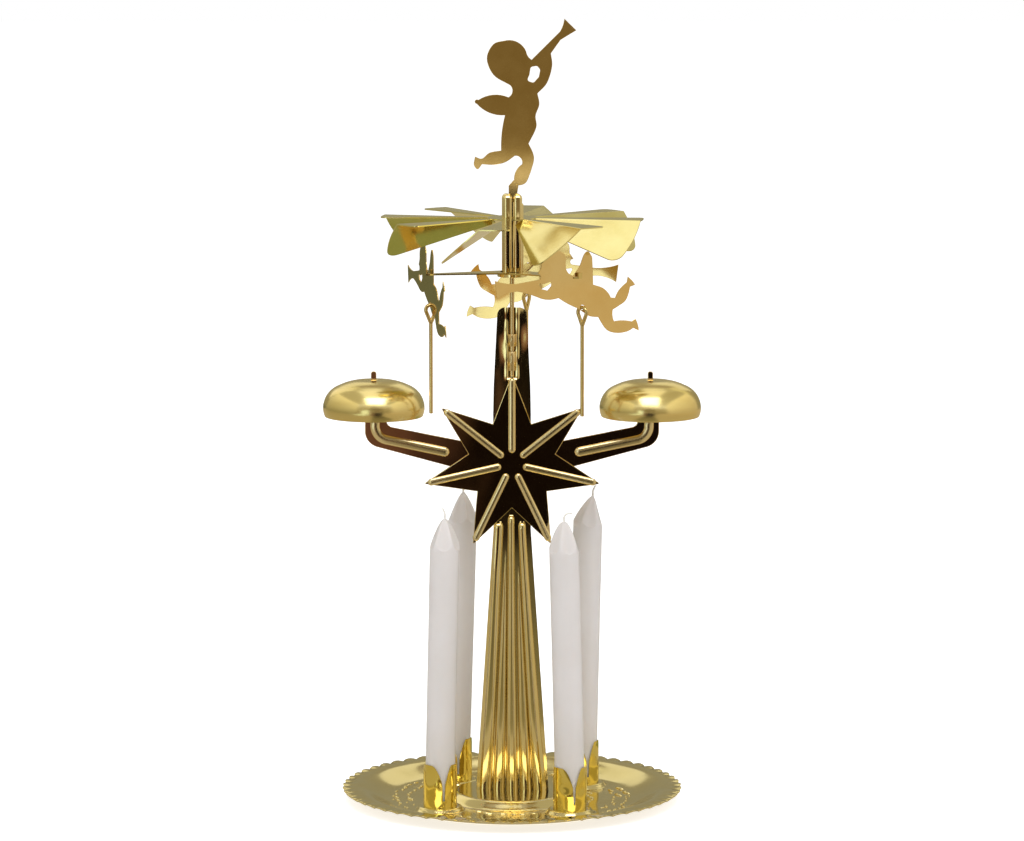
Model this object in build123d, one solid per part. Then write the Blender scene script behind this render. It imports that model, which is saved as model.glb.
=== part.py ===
from build123d import *
from math import asin, atan2, cos, degrees, hypot, radians, sin, tan
import os

# An angel chime carousel of stamped sheet brass, standing on its round candle tray.
# Warm air from four candles turns a fan on a needle. Three flying angels hang from a
# three-armed spider below the fan and trail strikers past two bells.
# The origin is on the table under the needle. +X runs from bell to bell, to the right,
# -Y faces the viewer and +Z is up. All lengths are in millimetres, all angles in degrees.

# Shared values
sheet = 0.6                 # thickness of the formed sheet parts
overrun = 2.0               # how far a cutter runs past the face it cuts
through = 8.0               # length of a cutter that passes right through a sheet
press_gap = 0.05            # gap all round between pieces pushed together
play = 0.1                  # running clearance of the bells and of the needle in its seat

# Tray
tray_radius = 72.5
tray_sheet = 0.5
lobe_count = 60
lobe_depth = 0.9
rim_height = 5.5
floor_radius = 53.0
flange_width = 8.0
platform_radius = 27.0
platform_height = 3.3
platform_slope = 2.0
bead_radius = 1.0
boss_radius = 9.2
boss_height = 1.7
boss_slope = 1.2

# Candles and their cups
cup_circle_radius = 39.0
cup_angles = (218.8, 308.8, 38.8, 128.8)
cup_names = ("front_left", "front_right", "back_right", "back_left")
candle_radius = 6.25
candle_heights = (112.0, 111.6, 114.4, 115.0)
candle_leans = (1.2, -1.5, 1.2, 1.7)
candle_pivot = 9.0
candle_tip_height = 10.4
candle_tip_radius = 0.9
candle_waist_shares = (0.33, 0.75)
candle_bevel = 1.0
candle_fit = 0.35
cup_sheet = 0.5
cup_height = 18.5
petal_count = 3
petal_gap = 1.3
petal_foot = 3.0
petal_round = 6.0
petal_bow_share = 0.3
cup_hole_radius = 1.0
wick_radius = 0.55
wick_sides = 6
wick_rise = 1.2
wick_bend_radius = 4.5
wick_bend = 42.0
wick_headings = (150.0, 10.0, 30.0, 170.0)
lug_width = 3.0
lug_length = 2.0

# Tower
tower_base_width = 31.2
tower_neck_width = 16.0
tower_top_width = 12.2
flute_count = 9
flute_depth_base = 1.7
flute_depth_neck = 0.8
flute_depth_end = 0.04
crest_share = 0.28
crest_drop_share = 0.72
flute_top = 116.5
flute_fade = 4.0
plate_waist = 173.0
tower_height = 211.4
plate_corner = 3.0
tab_width = 6.0
tab_inset = 1.0
tab_reach = 3.0
channel_wall = 0.5
clip_feet = (184.6, 195.0)
clip_tops = (192.8, 200.2)

# Needle
needle_radius = 0.95
needle_tip_length = 3.0
needle_tip_radius = 0.2
needle_foot = 182.0

# Star and bell yoke
plate_sheet = 0.8
star_points = 7
star_radius = 38.4
star_notch_radius = 18.9
star_height = 144.9
rib_start = 4.7
rib_end_gap = 1.8
rib_width = 3.0
rib_rise = 0.85
rib_tip_share = 0.45
rib_tip_length = 1.3
stud_radius = 1.5
stud_head_radius = 2.6
stud_head = 0.8
yoke_rise = 5.5
yoke_top_slope = 11.2
yoke_drop = 8.3
yoke_foot_slope = 15.1
yoke_inner = 53.1
yoke_outer = 62.3
yoke_inner_bend = 2.8
yoke_outer_bend = 7.0
yoke_rib_width = 4.0
yoke_rib_rise = 1.0
yoke_rib_drop = 0.9
yoke_rib_slope = 11.8
yoke_rib_start = 26.6
yoke_rib_upright = 7.9
yoke_rib_bend = 6.0
yoke_rib_set = 0.5
neck_width = 5.0
neck_drop = 9.0
pin_width = 2.3
pin_length = 4.4
pin_round_share = 0.9

# Bells
bell_spacing = 117.0
bell_radius = 21.5
bell_height = 15.2
bell_rise = 20.4
bell_sheet = 0.5
bell_profile_shares = (
    ((0.965, 0.0), (1.0, 0.19), (0.978, 0.42)),
    ((0.978, 0.42), (0.885, 0.655), (0.705, 0.83)),
    ((0.705, 0.83), (0.510, 0.935), (0.300, 0.985)),
)

# Turning part
hub_foot = 224.6
hub_height = 35.0
hub_flutes = 5
hub_flute_radius = 1.75
hub_flute_circle = 3.2
hub_flute_point = 1.2
hub_flute_point_radius = 0.7
hub_core_radius = 3.8
hub_bore_radius = 3.0
hub_core_drop = 3.2
hub_crown = 3.0
hub_seat_depth = 1.0
hub_seat_radius = 1.2
collar_radius = 6.2
collar_height = 1.4

fan_height = 249.6
fan_sheet = 0.5
fan_radius = 55.5
fan_disc_radius = 10.5
blade_count = 8
blade_phase = 31.0
blade_flat_angle = 13.0
blade_flap_angle = 27.0
blade_tilt = 40.0
blade_corner = 5.0
blade_flat_corner = 2.5
blade_root = 9.0

spider_root_width = 12.0
spider_tip_width = 2.4
hook_reach = 1.7
hook_height = 2.4

striker_gap = 0.35
wire_radius = 0.8
wire_hole_radius = 1.1
wire_sides = 8
loop_radius = 1.7
loop_length = 7.0
striker_foot = 167.8
striker_hole_height = 213.8

figure_length = 66.0
slot_ahead = 2.3
slot_rise = 12.3
slot_width = 4.0
figure_names = ("front_left", "front_right", "back")
figure_angles = (198.0, 325.0, 80.0)
figure_headings = (105.0, 204.0, -10.0)

# Outline of a flying angel as runs of points, in shares of its length. A share of zero is
# at the striker's hole, x is back towards the feet and y is up. Two points are a line,
# three are an arc and more are one smooth curve.
figure_outline_shares = (
    ((-0.605, 0.195), (-0.590, 0.080)),
    ((-0.590, 0.080), (-0.530, 0.108), (-0.450, 0.120)),
    ((-0.450, 0.120), (-0.390, 0.105), (-0.325, 0.083)),
    ((-0.325, 0.083), (-0.270, 0.063), (-0.215, 0.058), (-0.165, 0.066)),
    ((-0.165, 0.066), (-0.120, 0.037), (-0.030, -0.006)),
    ((-0.030, -0.006), (0.020, -0.040), (0.055, -0.058), (0.118, -0.068)),
    ((0.118, -0.068), (0.190, -0.120), (0.257, -0.180)),
    ((0.257, -0.180), (0.330, -0.185), (0.396, -0.172)),
    ((0.396, -0.172), (0.398, -0.130), (0.368, -0.100)),
    ((0.368, -0.100), (0.300, -0.125), (0.220, -0.095)),
    ((0.220, -0.095), (0.208, -0.030), (0.217, 0.042)),
    ((0.217, 0.042), (0.260, 0.020), (0.312, 0.035)),
    ((0.312, 0.035), (0.350, 0.070), (0.370, 0.117)),
    ((0.370, 0.117), (0.355, 0.160), (0.317, 0.172)),
    ((0.317, 0.172), (0.285, 0.115), (0.182, 0.078)),
    ((0.182, 0.078), (0.140, 0.125), (0.075, 0.155)),
    ((0.075, 0.155), (0.072, 0.240), (0.068, 0.318)),
    ((0.068, 0.318), (0.040, 0.355), (0.010, 0.335), (-0.020, 0.265), (-0.065, 0.205)),
    ((-0.065, 0.205), (-0.100, 0.225), (-0.115, 0.270)),
    ((-0.115, 0.270), (-0.125, 0.345), (-0.205, 0.372), (-0.275, 0.325), (-0.285, 0.262)),
    ((-0.285, 0.262), (-0.310, 0.225)),
    ((-0.310, 0.225), (-0.290, 0.215), (-0.297, 0.190)),
    ((-0.297, 0.190), (-0.450, 0.170)),
    ((-0.450, 0.170), (-0.530, 0.175), (-0.605, 0.195)),
)
figure_gap_shares = ((-0.302, 0.172), (-0.232, 0.150), (-0.245, 0.115))
figure_gap_corner = 0.6

# Outline of the standing trumpeter on top, in shares of its height. A share of zero is at
# the axis and at the sole of the foot.
trumpeter_height = 70.4
trumpeter_foot = 263.0
trumpeter_peg_width = 2.8
trumpeter_peg_depth = 1.5
peg_root_shares = ((0.044, 0.030), (0.034, 0.060))
trumpeter_outline_shares = (
    ((0.312, 0.996), (0.383, 0.927)),
    ((0.383, 0.927), (0.330, 0.895), (0.289, 0.870)),
    ((0.289, 0.870), (0.232, 0.790)),
    ((0.232, 0.790), (0.239, 0.713), (0.209, 0.614), (0.152, 0.551)),
    ((0.152, 0.551), (0.163, 0.486), (0.141, 0.418), (0.145, 0.348), (0.099, 0.251)),
    ((0.099, 0.251), (0.125, 0.197), (0.131, 0.151), (0.110, 0.075)),
    ((0.110, 0.075), (0.085, 0.020), (0.048, 0.002), (0.018, 0.012), (0.012, 0.040)),
    ((0.012, 0.040), (0.022, 0.085), (0.060, 0.128)),
    ((0.060, 0.128), (0.052, 0.165), (0.018, 0.179)),
    ((0.018, 0.179), (-0.042, 0.139), (-0.110, 0.125), (-0.179, 0.128)),
    ((-0.179, 0.128), (-0.205, 0.098), (-0.228, 0.125), (-0.221, 0.173)),
    ((-0.221, 0.173), (-0.179, 0.162), (-0.134, 0.197), (-0.065, 0.210)),
    ((-0.065, 0.210), (-0.062, 0.310), (-0.042, 0.421)),
    ((-0.042, 0.421), (-0.134, 0.435), (-0.210, 0.489)),
    ((-0.210, 0.489), (-0.222, 0.505), (-0.201, 0.512)),
    ((-0.201, 0.512), (-0.134, 0.540), (-0.021, 0.528)),
    ((-0.021, 0.528), (0.002, 0.560), (-0.011, 0.600)),
    ((-0.011, 0.600), (-0.110, 0.661), (-0.150, 0.760), (-0.110, 0.845), (-0.031, 0.868)),
    ((-0.031, 0.868), (0.045, 0.850), (0.085, 0.800)),
    ((0.085, 0.800), (0.097, 0.770), (0.117, 0.752)),
    ((0.117, 0.752), (0.286, 0.920)),
    ((0.286, 0.920), (0.300, 0.950), (0.312, 0.996)),
)
trumpeter_gap_shares = ((0.112, 0.700), (0.165, 0.728), (0.160, 0.640), (0.125, 0.615))
trumpeter_gap_corner = 1.2

# Heights and places that follow from the sizes above
floor_top = tray_sheet
platform_top = floor_top + platform_height
boss_top = floor_top + boss_height
cup_bore_radius = candle_radius + candle_fit
cup_radius = cup_bore_radius + cup_sheet
candle_foot = boss_top + cup_sheet
yoke_back = -sheet / 2
yoke_front = yoke_back - plate_sheet
star_front = yoke_front - plate_sheet
bell_axis_y = (yoke_back + yoke_front) / 2
bell_axis_x = bell_spacing / 2
yoke_top_height = star_height + yoke_rise
yoke_foot_height = star_height - yoke_drop
yoke_rib_height = star_height - yoke_rib_drop
bell_rim_height = star_height + bell_rise
bell_top = bell_rim_height + bell_height
pin_foot = bell_top - bell_sheet - play
pin_hole_radius = hypot(pin_width, plate_sheet) / 2 + play
hub_top = hub_foot + hub_height
hub_radius = hub_flute_circle + hub_flute_radius
hub_core_top = hub_top - hub_core_drop
bore_top = hub_core_top - hub_crown
needle_top = bore_top + hub_seat_depth - play
spider_foot = hub_foot + collar_height
striker_radius = bell_axis_x - bell_radius - striker_gap - wire_radius
parts = {}


def at(radius, angle, height=0.0):
    """The point at a radius and an angle round the vertical axis."""
    return Vector(radius * cos(radians(angle)), radius * sin(radians(angle)), height)


def upright(face, thickness):
    """A plate whose outline stands in the XZ plane, centred on Y = 0."""
    return extrude(Plane.XZ * face, amount=thickness / 2, both=True)


def outline_face(runs, size):
    """The face inside closed runs of points, given in shares of a size."""
    edges = []
    for run in runs:
        points = [(x * size, y * size) for x, y in run]
        curve = {2: Line, 3: ThreePointArc}.get(len(points), Spline)
        edges.append(curve(*points))
    return make_face(Wire(edges))


def ring(outer, inner, foot, top):
    """A plain ring about the vertical axis."""
    body = Pos(0, 0, foot) * Cylinder(outer, top - foot, align=(Align.CENTER, Align.CENTER, Align.MIN))
    return body - Pos(0, 0, foot - overrun) * Cylinder(
        inner, top - foot + 2 * overrun, align=(Align.CENTER, Align.CENTER, Align.MIN))


def post(radius, foot, top):
    """A plain round post about the vertical axis."""
    return Pos(0, 0, foot) * Cylinder(radius, top - foot, align=(Align.CENTER, Align.CENTER, Align.MIN))


def block(x0, x1, y0, y1, z0, z1):
    """A box between two corners."""
    return Pos(x0, y0, z0) * Box(x1 - x0, y1 - y0, z1 - z0, align=(Align.MIN, Align.MIN, Align.MIN))


def keep(name, shape):
    parts[name] = shape


# Tray: one stamping with a raised platform, four raised seats and a scalloped rim
def tray_skin(lift):
    """The half profile of the tray's sheet, from a lower line raised by its thickness."""
    slope_foot = platform_radius + platform_slope
    flange = tray_radius - flange_width
    line = [
        (0, platform_height), (platform_radius - bead_radius, platform_height),
        (slope_foot, 0), (floor_radius, 0),
        (flange, rim_height - tray_sheet), (tray_radius + overrun, rim_height - tray_sheet),
    ]
    return [(r, z + lift) for r, z in line]


def tray_edge():
    """The scalloped outline of the tray, one arc for each lobe."""
    step = 360 / lobe_count
    edges = []
    for i in range(lobe_count):
        a = i * step
        start, end = at(tray_radius - lobe_depth, a), at(tray_radius - lobe_depth, a + step)
        edges.append(ThreePointArc(start, at(tray_radius, a + step / 2), end))
    return make_face(Wire(edges))


def make_tray():
    profile = make_face(Polyline(*tray_skin(0), *reversed(tray_skin(tray_sheet)), close=True))
    dish = revolve(Plane.XZ * profile, Axis.Z)
    dish &= extrude(tray_edge(), amount=rim_height + overrun)
    for angle in cup_angles:
        spot = Pos(at(cup_circle_radius, angle))
        foot = boss_radius + boss_slope
        inner = Cone(foot, boss_radius, boss_height, align=(Align.CENTER, Align.CENTER, Align.MIN))
        dish = dish + spot * Pos(0, 0, tray_sheet) * inner - spot * inner
        dish -= spot * Rot(0, 0, angle) * cup_lug_slots()
    for side in (-1, 1):
        dish -= tab_box(side, press_gap, 0, platform_top + overrun)
    return dish


def cup_lug_slots():
    """The two slots in a candle seat that the cup's lugs pass through."""
    x = cup_bore_radius / 2
    cut = Part()
    for side in (-1, 1):
        cut += block(side * x - tray_sheet / 2 - press_gap, side * x + tray_sheet / 2 + press_gap,
                     -lug_width / 2 - press_gap, lug_width / 2 + press_gap, 0, boss_top + overrun)
    return cut


# Candle cup: a split ring of rounded petals on a floor held by two bent lugs
def make_cup(angle):
    wall = ring(cup_radius, cup_bore_radius, 0, cup_height)
    cup = wall + post(cup_radius, 0, cup_sheet)
    for i in range(petal_count):
        slot = petal_slot()
        cup -= Rot(0, 0, 270 - angle + i * 360 / petal_count) * slot
    hole = Rot(0, 0, 270 - angle + 180 / petal_count) * Pos(cup_radius, 0, petal_foot) * Rot(0, 90, 0)
    cup -= hole * Cylinder(cup_hole_radius, cup_radius)
    x = cup_bore_radius / 2
    for side in (-1, 1):
        leg = block(side * x - tray_sheet / 2, side * x + tray_sheet / 2,
                    -lug_width / 2, lug_width / 2, -tray_sheet - cup_sheet, cup_sheet)
        inner = side * x - side * tray_sheet / 2
        outer = inner + side * lug_length
        foot = block(min(inner, outer), max(inner, outer), -lug_width / 2, lug_width / 2,
                     -tray_sheet - cup_sheet, -tray_sheet)
        cup += leg + foot
    return Pos(at(cup_circle_radius, angle, boss_top)) * Rot(0, 0, angle) * cup


def petal_slot():
    """The cutter for one gap between petals, which also rounds their tops."""
    top = cup_height + overrun
    half = petal_gap / 2
    bow = petal_bow_share * petal_round
    outline = Wire([
        Line((-half, petal_foot), (half, petal_foot)),
        Line((half, petal_foot), (half, cup_height - petal_round)),
        ThreePointArc((half, cup_height - petal_round),
                      (half + bow, cup_height - bow),
                      (half + petal_round, cup_height)),
        Line((half + petal_round, cup_height), (half + petal_round, top)),
        Line((half + petal_round, top), (-half - petal_round, top)),
        Line((-half - petal_round, top), (-half - petal_round, cup_height)),
        ThreePointArc((-half - petal_round, cup_height),
                      (-half - bow, cup_height - bow),
                      (-half, cup_height - petal_round)),
        Line((-half, cup_height - petal_round), (-half, petal_foot)),
    ])
    return Pos(cup_radius + overrun, 0, 0) * extrude(Plane.YZ * make_face(outline), amount=-cup_radius)


# Candle with its pointed top, and the wick in it
def make_candle(height):
    tip = height + candle_tip_height
    waist = (candle_waist_shares[0] * candle_radius, height + candle_waist_shares[1] * candle_tip_height)
    outline = make_face(Wire([
        Line((0, 0), (candle_radius, 0)), Line((candle_radius, 0), (candle_radius, height)),
        Line((candle_radius, height), (candle_radius - candle_bevel, height + candle_bevel)),
        ThreePointArc((candle_radius - candle_bevel, height + candle_bevel), waist, (candle_tip_radius, tip)),
        Line((candle_tip_radius, tip), (0, tip)), Line((0, tip), (0, 0)),
    ]))
    return revolve(Plane.XZ * outline, Axis.Z)


def stand_candle(shape, angle, lean):
    """Leans a candle or its wick in the cup, turned about a point partway down the cup."""
    lift = candle_radius * sin(radians(abs(lean)))
    return Pos(at(cup_circle_radius, angle, candle_foot + lift + candle_pivot)) * Rot(0, lean, 0) * Pos(
        0, 0, -candle_pivot) * shape


def make_wick(height, heading):
    foot = height + candle_tip_height
    straight = Line((0, 0, foot), (0, 0, foot + wick_rise))
    bend = ThreePointArc(
        (0, 0, foot + wick_rise),
        (wick_bend_radius * (1 - cos(radians(wick_bend / 2))), 0,
         foot + wick_rise + wick_bend_radius * sin(radians(wick_bend / 2))),
        (wick_bend_radius * (1 - cos(radians(wick_bend))), 0,
         foot + wick_rise + wick_bend_radius * sin(radians(wick_bend))))
    path = Wire([straight, bend])
    wick = sweep(Pos(0, 0, foot) * RegularPolygon(wick_radius, wick_sides), path)
    return Rot(0, 0, heading) * wick


# Tower: a fluted foot that runs up into a flat plate, with a channel and clips for the needle
def flute_section(width, depth, height):
    """A fluted strip across X at one height: bevelled crests joined by straight flanks."""
    pitch = width / (2 * flute_count)
    front, back = [], []
    for y, edges in ((-sheet / 2, front), (sheet / 2, back)):
        last = (-width / 2, y, height)
        for i in range(2 * flute_count):
            centre = -width / 2 + (i + 0.5) * pitch
            side = depth / 2 * (1 if i % 2 else -1)
            half = crest_share * pitch
            start = (centre - half, y + crest_drop_share * side, height)
            end = (centre + half, y + crest_drop_share * side, height)
            crest = (centre, y + side, height)
            edges += [Line(last, start), Line(start, crest), Line(crest, end)]
            last = end
        edges.append(Line(last, (width / 2, y, height)))
    right = Line((width / 2, -sheet / 2, height), (width / 2, sheet / 2, height))
    left = Line((-width / 2, sheet / 2, height), (-width / 2, -sheet / 2, height))
    return Wire(front + [right] + back[::-1] + [left])


def tab_box(side, gap, foot, top):
    """The space of one of the tower's two tabs through the tray."""
    outer = side * (tower_base_width / 2 - tab_inset)
    inner = outer - side * tab_width
    return block(min(inner, outer) - gap, max(inner, outer) + gap,
                 -sheet / 2 - gap, sheet / 2 + gap, foot, top)


def make_tower():
    sections = (
        flute_section(tower_base_width, flute_depth_base, platform_top),
        flute_section(tower_neck_width, flute_depth_neck, flute_top),
        flute_section(tower_neck_width, flute_depth_end, flute_top + flute_fade),
    )
    fluted = Solid.make_loft(sections[:2], ruled=True)
    faded = Solid.make_loft(sections[1:], ruled=True)
    foot = flute_top + flute_fade
    neck, top = tower_neck_width / 2, tower_top_width / 2
    plate = upright(make_face(FilletPolyline(
        (-neck, foot), (neck, foot), (neck, plate_waist), (top, tower_height), (-top, tower_height),
        (-neck, plate_waist), radius=(0, 0, 0, plate_corner, plate_corner, 0), close=True)), sheet)
    tower = Part() + fluted + faded + plate
    for side in (-1, 1):
        tab = tab_box(side, 0, floor_top, platform_top)
        tower += tab + bent_tab(side)
    return finish_plate(tower)


def bent_tab(side):
    """The end of a tab, folded flat under the tray's platform."""
    outer = side * (tower_base_width / 2 - tab_inset)
    inner = outer - side * tab_width
    top = platform_height
    return block(min(inner, outer), max(inner, outer), -sheet / 2, tab_reach, top - sheet, top)


def finish_plate(tower):
    """Presses the needle's channel into the plate and puts the clips across it."""
    shell_inner = needle_radius + press_gap
    shell_outer = shell_inner + channel_wall
    foot = needle_foot - sheet
    channel = post(shell_outer, foot, tower_height)
    tower += channel & block(-shell_outer, shell_outer, 0, shell_outer, foot, tower_height)
    for low, high in zip(clip_feet, clip_tops):
        tower += post(shell_outer, low, high) & block(-shell_outer, shell_outer, -shell_outer, 0, low, high)
    tower -= post(shell_inner, needle_foot, tower_height + overrun)
    hole = Pos(0, 0, star_height) * Rot(90, 0, 0) * Cylinder(stud_radius + press_gap, through)
    return tower - hole


# Needle: a straight wire with a pointed end
def make_needle():
    shank = needle_top - needle_tip_length
    tip = Pos(0, 0, shank) * Cone(needle_radius, needle_tip_radius, needle_tip_length,
                                  align=(Align.CENTER, Align.CENTER, Align.MIN))
    return post(needle_radius, needle_foot, shank) + tip


# Raised rib along a line on a plate that faces -Y
def rib(line, width, rise, face_y, back_y):
    """A rounded rib along a line in the XZ plane, cut off at the back of its plate."""
    core = (width ** 2 / 4 - rise ** 2) / (2 * rise)
    radius = core + rise
    start, end = line @ 0, line @ 1
    first, last = Plane(origin=start, z_dir=line % 0), Plane(origin=end, z_dir=line % 1)
    tip = Cone(radius, rib_tip_share * radius, rib_tip_length, align=(Align.CENTER, Align.CENTER, Align.MIN))
    solid = sweep(first * Circle(radius), line) + last * tip + Plane(origin=start, z_dir=-(line % 0)) * tip
    shifted = Pos(0, face_y + core, 0) * solid
    box = shifted.bounding_box()
    front = block(box.min.X - overrun, box.max.X + overrun, box.min.Y - overrun, back_y,
                  box.min.Z - overrun, box.max.Z + overrun)
    return shifted & front


# Star: a flat seven-pointed plate with a rib along each point and a stud behind
def make_star():
    corners = []
    for i in range(2 * star_points):
        radius = star_radius if i % 2 == 0 else star_notch_radius
        corners.append(at(radius, 90 + i * 180 / star_points))
    plate = upright(make_face(Polyline(*[(c.X, c.Y) for c in corners], close=True)), plate_sheet)
    star = Pos(0, yoke_front - plate_sheet / 2, star_height) * plate
    for i in range(star_points):
        a = radians(90 + i * 360 / star_points)
        first = (rib_start * cos(a), 0, star_height + rib_start * sin(a))
        reach = star_radius - rib_end_gap - rib_width / 2 - rib_tip_length
        last = (reach * cos(a), 0, star_height + reach * sin(a))
        star += rib(Line(first, last), rib_width, rib_rise, star_front, yoke_front)
    back = sheet / 2
    spot = Pos(0, 0, star_height) * Rot(90, 0, 0)
    stud = spot * post(stud_radius, -back - press_gap, -yoke_front)
    head = spot * post(stud_head_radius, -back - press_gap - stud_head, -back - press_gap)
    return star + stud + head


# Yoke: a flat arm out to each bell, turned up into a pin
def yoke_half(side):
    rise_top, rise_foot = tan(radians(yoke_top_slope)), tan(radians(yoke_foot_slope))
    neck, pin = neck_width / 2, pin_width / 2
    neck_foot = pin_foot - neck_drop
    points = [
        (0, yoke_foot_height), (yoke_outer, yoke_foot_height + yoke_outer * rise_foot),
        (yoke_outer, neck_foot), (bell_axis_x + neck, pin_foot), (bell_axis_x + pin, pin_foot),
        (bell_axis_x + pin, pin_foot + pin_length), (bell_axis_x - pin, pin_foot + pin_length),
        (bell_axis_x - pin, pin_foot), (bell_axis_x - neck, pin_foot), (yoke_inner, neck_foot),
        (yoke_inner, yoke_top_height + yoke_inner * rise_top), (0, yoke_top_height),
    ]
    tip_round = pin_round_share * pin
    radii = (0, yoke_outer_bend, 0, 0, 0, tip_round, tip_round, 0, 0, 0, yoke_inner_bend, 0)
    points = [(side * x, z) for x, z in points]
    plate = Pos(0, bell_axis_y, 0) * upright(
        make_face(FilletPolyline(*points, radius=radii, close=True)), plate_sheet)
    rise = tan(radians(yoke_rib_slope))
    turn = bell_axis_x - yoke_rib_set
    corner = yoke_rib_height + turn * rise
    line = FilletPolyline(
        (side * yoke_rib_start, 0, yoke_rib_height + yoke_rib_start * rise),
        (side * turn, 0, corner), (side * turn, 0, corner + yoke_rib_upright), radius=yoke_rib_bend)
    return plate + rib(line, yoke_rib_width, yoke_rib_rise, yoke_front, yoke_back)


def make_yoke():
    yoke = yoke_half(-1) + yoke_half(1)
    hole = Pos(0, 0, star_height) * Rot(90, 0, 0) * Cylinder(stud_radius + press_gap, through)
    return yoke - hole


# Bell: a flat-topped dome, open below, hung on its pin
def dome(radius, height, curve):
    """A solid dome from the bell's profile, each run of it drawn as one kind of curve."""
    curves = [curve(*[(r * radius, z * height) for r, z in run]) for run in bell_profile_shares]
    first, last = curves[0] @ 0, curves[-1] @ 1
    edges = [edge for run in curves for edge in run.edges()]
    face = make_face(Wire(edges + [Line(last, (0, last.Y)), Line((0, last.Y), (0, 0)), Line((0, 0), first)]))
    return revolve(Plane.XZ * face, Axis.Z)


def make_bell(side):
    top_share = bell_profile_shares[-1][-1][1]
    bell = dome(bell_radius, bell_height / top_share, ThreePointArc)
    bell -= dome(bell_radius - bell_sheet, (bell_height - bell_sheet) / top_share, Polyline)
    bell -= post(pin_hole_radius, 0, bell_height + overrun)
    return Pos(side * bell_axis_x, bell_axis_y, bell_rim_height) * bell


# Hub: a sleeve of round flutes that turns on the needle's point
def make_hub():
    hub = post(hub_core_radius, hub_foot, hub_core_top) + post(collar_radius, hub_foot, spider_foot)
    flute_top_z = hub_top - hub_flute_point
    point = Pos(0, 0, flute_top_z) * Cone(hub_flute_radius, hub_flute_point_radius, hub_flute_point,
                                          align=(Align.CENTER, Align.CENTER, Align.MIN))
    for i in range(hub_flutes):
        spot = Pos(at(hub_flute_circle, i * 360 / hub_flutes + 90))
        hub += spot * (post(hub_flute_radius, hub_foot, flute_top_z) + point)
    hub -= post(hub_bore_radius, hub_foot - overrun, bore_top)
    hub -= Pos(0, 0, bore_top) * Cone(hub_seat_radius, needle_tip_radius, hub_seat_depth,
                                      align=(Align.CENTER, Align.CENTER, Align.MIN))
    half = trumpeter_peg_width / 2 + press_gap
    slit = sheet / 2 + press_gap
    hub -= block(-half, half, -slit, slit, hub_core_top - trumpeter_peg_depth, hub_top + overrun)
    return hub


# Fan: a disc cut into blades, each with a flat part and a flap folded down
def sector(angle_from, angle_to, corner):
    """A flat wedge from the fan's disc to its rim, with one rounded outer corner."""
    far = fan_radius
    start, end = at(far, angle_from), at(far, angle_to)
    middle = at(far, (angle_from + angle_to) / 2)
    wedge = make_face(Wire([
        Line((0, 0), start), ThreePointArc(start, middle, end), Line(end, (0, 0))]))
    near = sorted(wedge.vertices(), key=lambda v: (Vector(v) - end).length)[:1]
    wedge = fillet(near, corner)
    return wedge - Circle(blade_root)


def make_fan():
    fan = Part() + extrude(Circle(fan_disc_radius), amount=-fan_sheet)
    flat = extrude(sector(0, blade_flat_angle, blade_flat_corner), amount=-fan_sheet)
    flap = extrude(sector(0, -blade_flap_angle, blade_corner), amount=-fan_sheet)
    flap = Rot(blade_tilt, 0, 0) * flap
    fold = Pos((blade_root + fan_radius) / 2, 0, 0) * Rot(0, 90, 0) * Cylinder(
        fan_sheet, fan_radius - blade_root - blade_flat_corner)
    fold &= block(0, fan_radius, -fan_sheet, fan_sheet, -fan_sheet, 0)
    blade = flat + flap + fold
    for i in range(blade_count):
        fan += Rot(0, 0, blade_phase + i * 360 / blade_count) * blade
    return Pos(0, 0, fan_height) * (fan - Cylinder(hub_radius + press_gap, through))


# Places of the hanging figures
def hole_place(i):
    return at(striker_radius, figure_angles[i], striker_hole_height)


def slot_place(i):
    ahead = at(slot_ahead, figure_headings[i])
    return hole_place(i) + ahead + Vector(0, 0, slot_rise)


# Spider: three tapered arms on the hub's collar, each hooked through a figure
def make_spider():
    thick = sheet
    spider = ring(collar_radius, hub_radius + press_gap, 0, thick)
    for i in range(len(figure_names)):
        spot = slot_place(i)
        reach = hypot(spot.X, spot.Y) + hook_reach
        root, tip = spider_root_width / 2, spider_tip_width / 2
        arm = extrude(make_face(Polyline(
            (0, -root), (reach, -tip), (reach, tip), (0, root), close=True)), amount=thick)
        hook = block(reach - thick, reach, -tip, tip, 0, hook_height)
        spider += Rot(0, 0, degrees(atan2(spot.Y, spot.X))) * (arm + hook)
    spider -= post(hub_radius + press_gap, -overrun, hook_height + overrun)
    return Pos(0, 0, spider_foot + press_gap) * spider


# Flying angel: a flat stamping with a hole for the striker and a slot for the arm
def make_figure(i):
    face = outline_face(figure_outline_shares, figure_length)
    gap = make_face(FilletPolyline(
        *[(x * figure_length, y * figure_length) for x, y in figure_gap_shares],
        radius=figure_gap_corner, close=True))
    plate = upright(face - gap, sheet)
    plate -= Rot(90, 0, 0) * Cylinder(wire_hole_radius, overrun)
    slot_z = slot_rise - (slot_place(i).Z - spider_foot - press_gap) + sheet / 2
    half = sheet / 2 + press_gap
    plate -= block(-slot_ahead - slot_width / 2, -slot_ahead + slot_width / 2,
                   -overrun, overrun, slot_z - half, slot_z + half)
    return Pos(hole_place(i)) * Rot(0, 0, figure_headings[i] + 180) * plate


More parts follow.
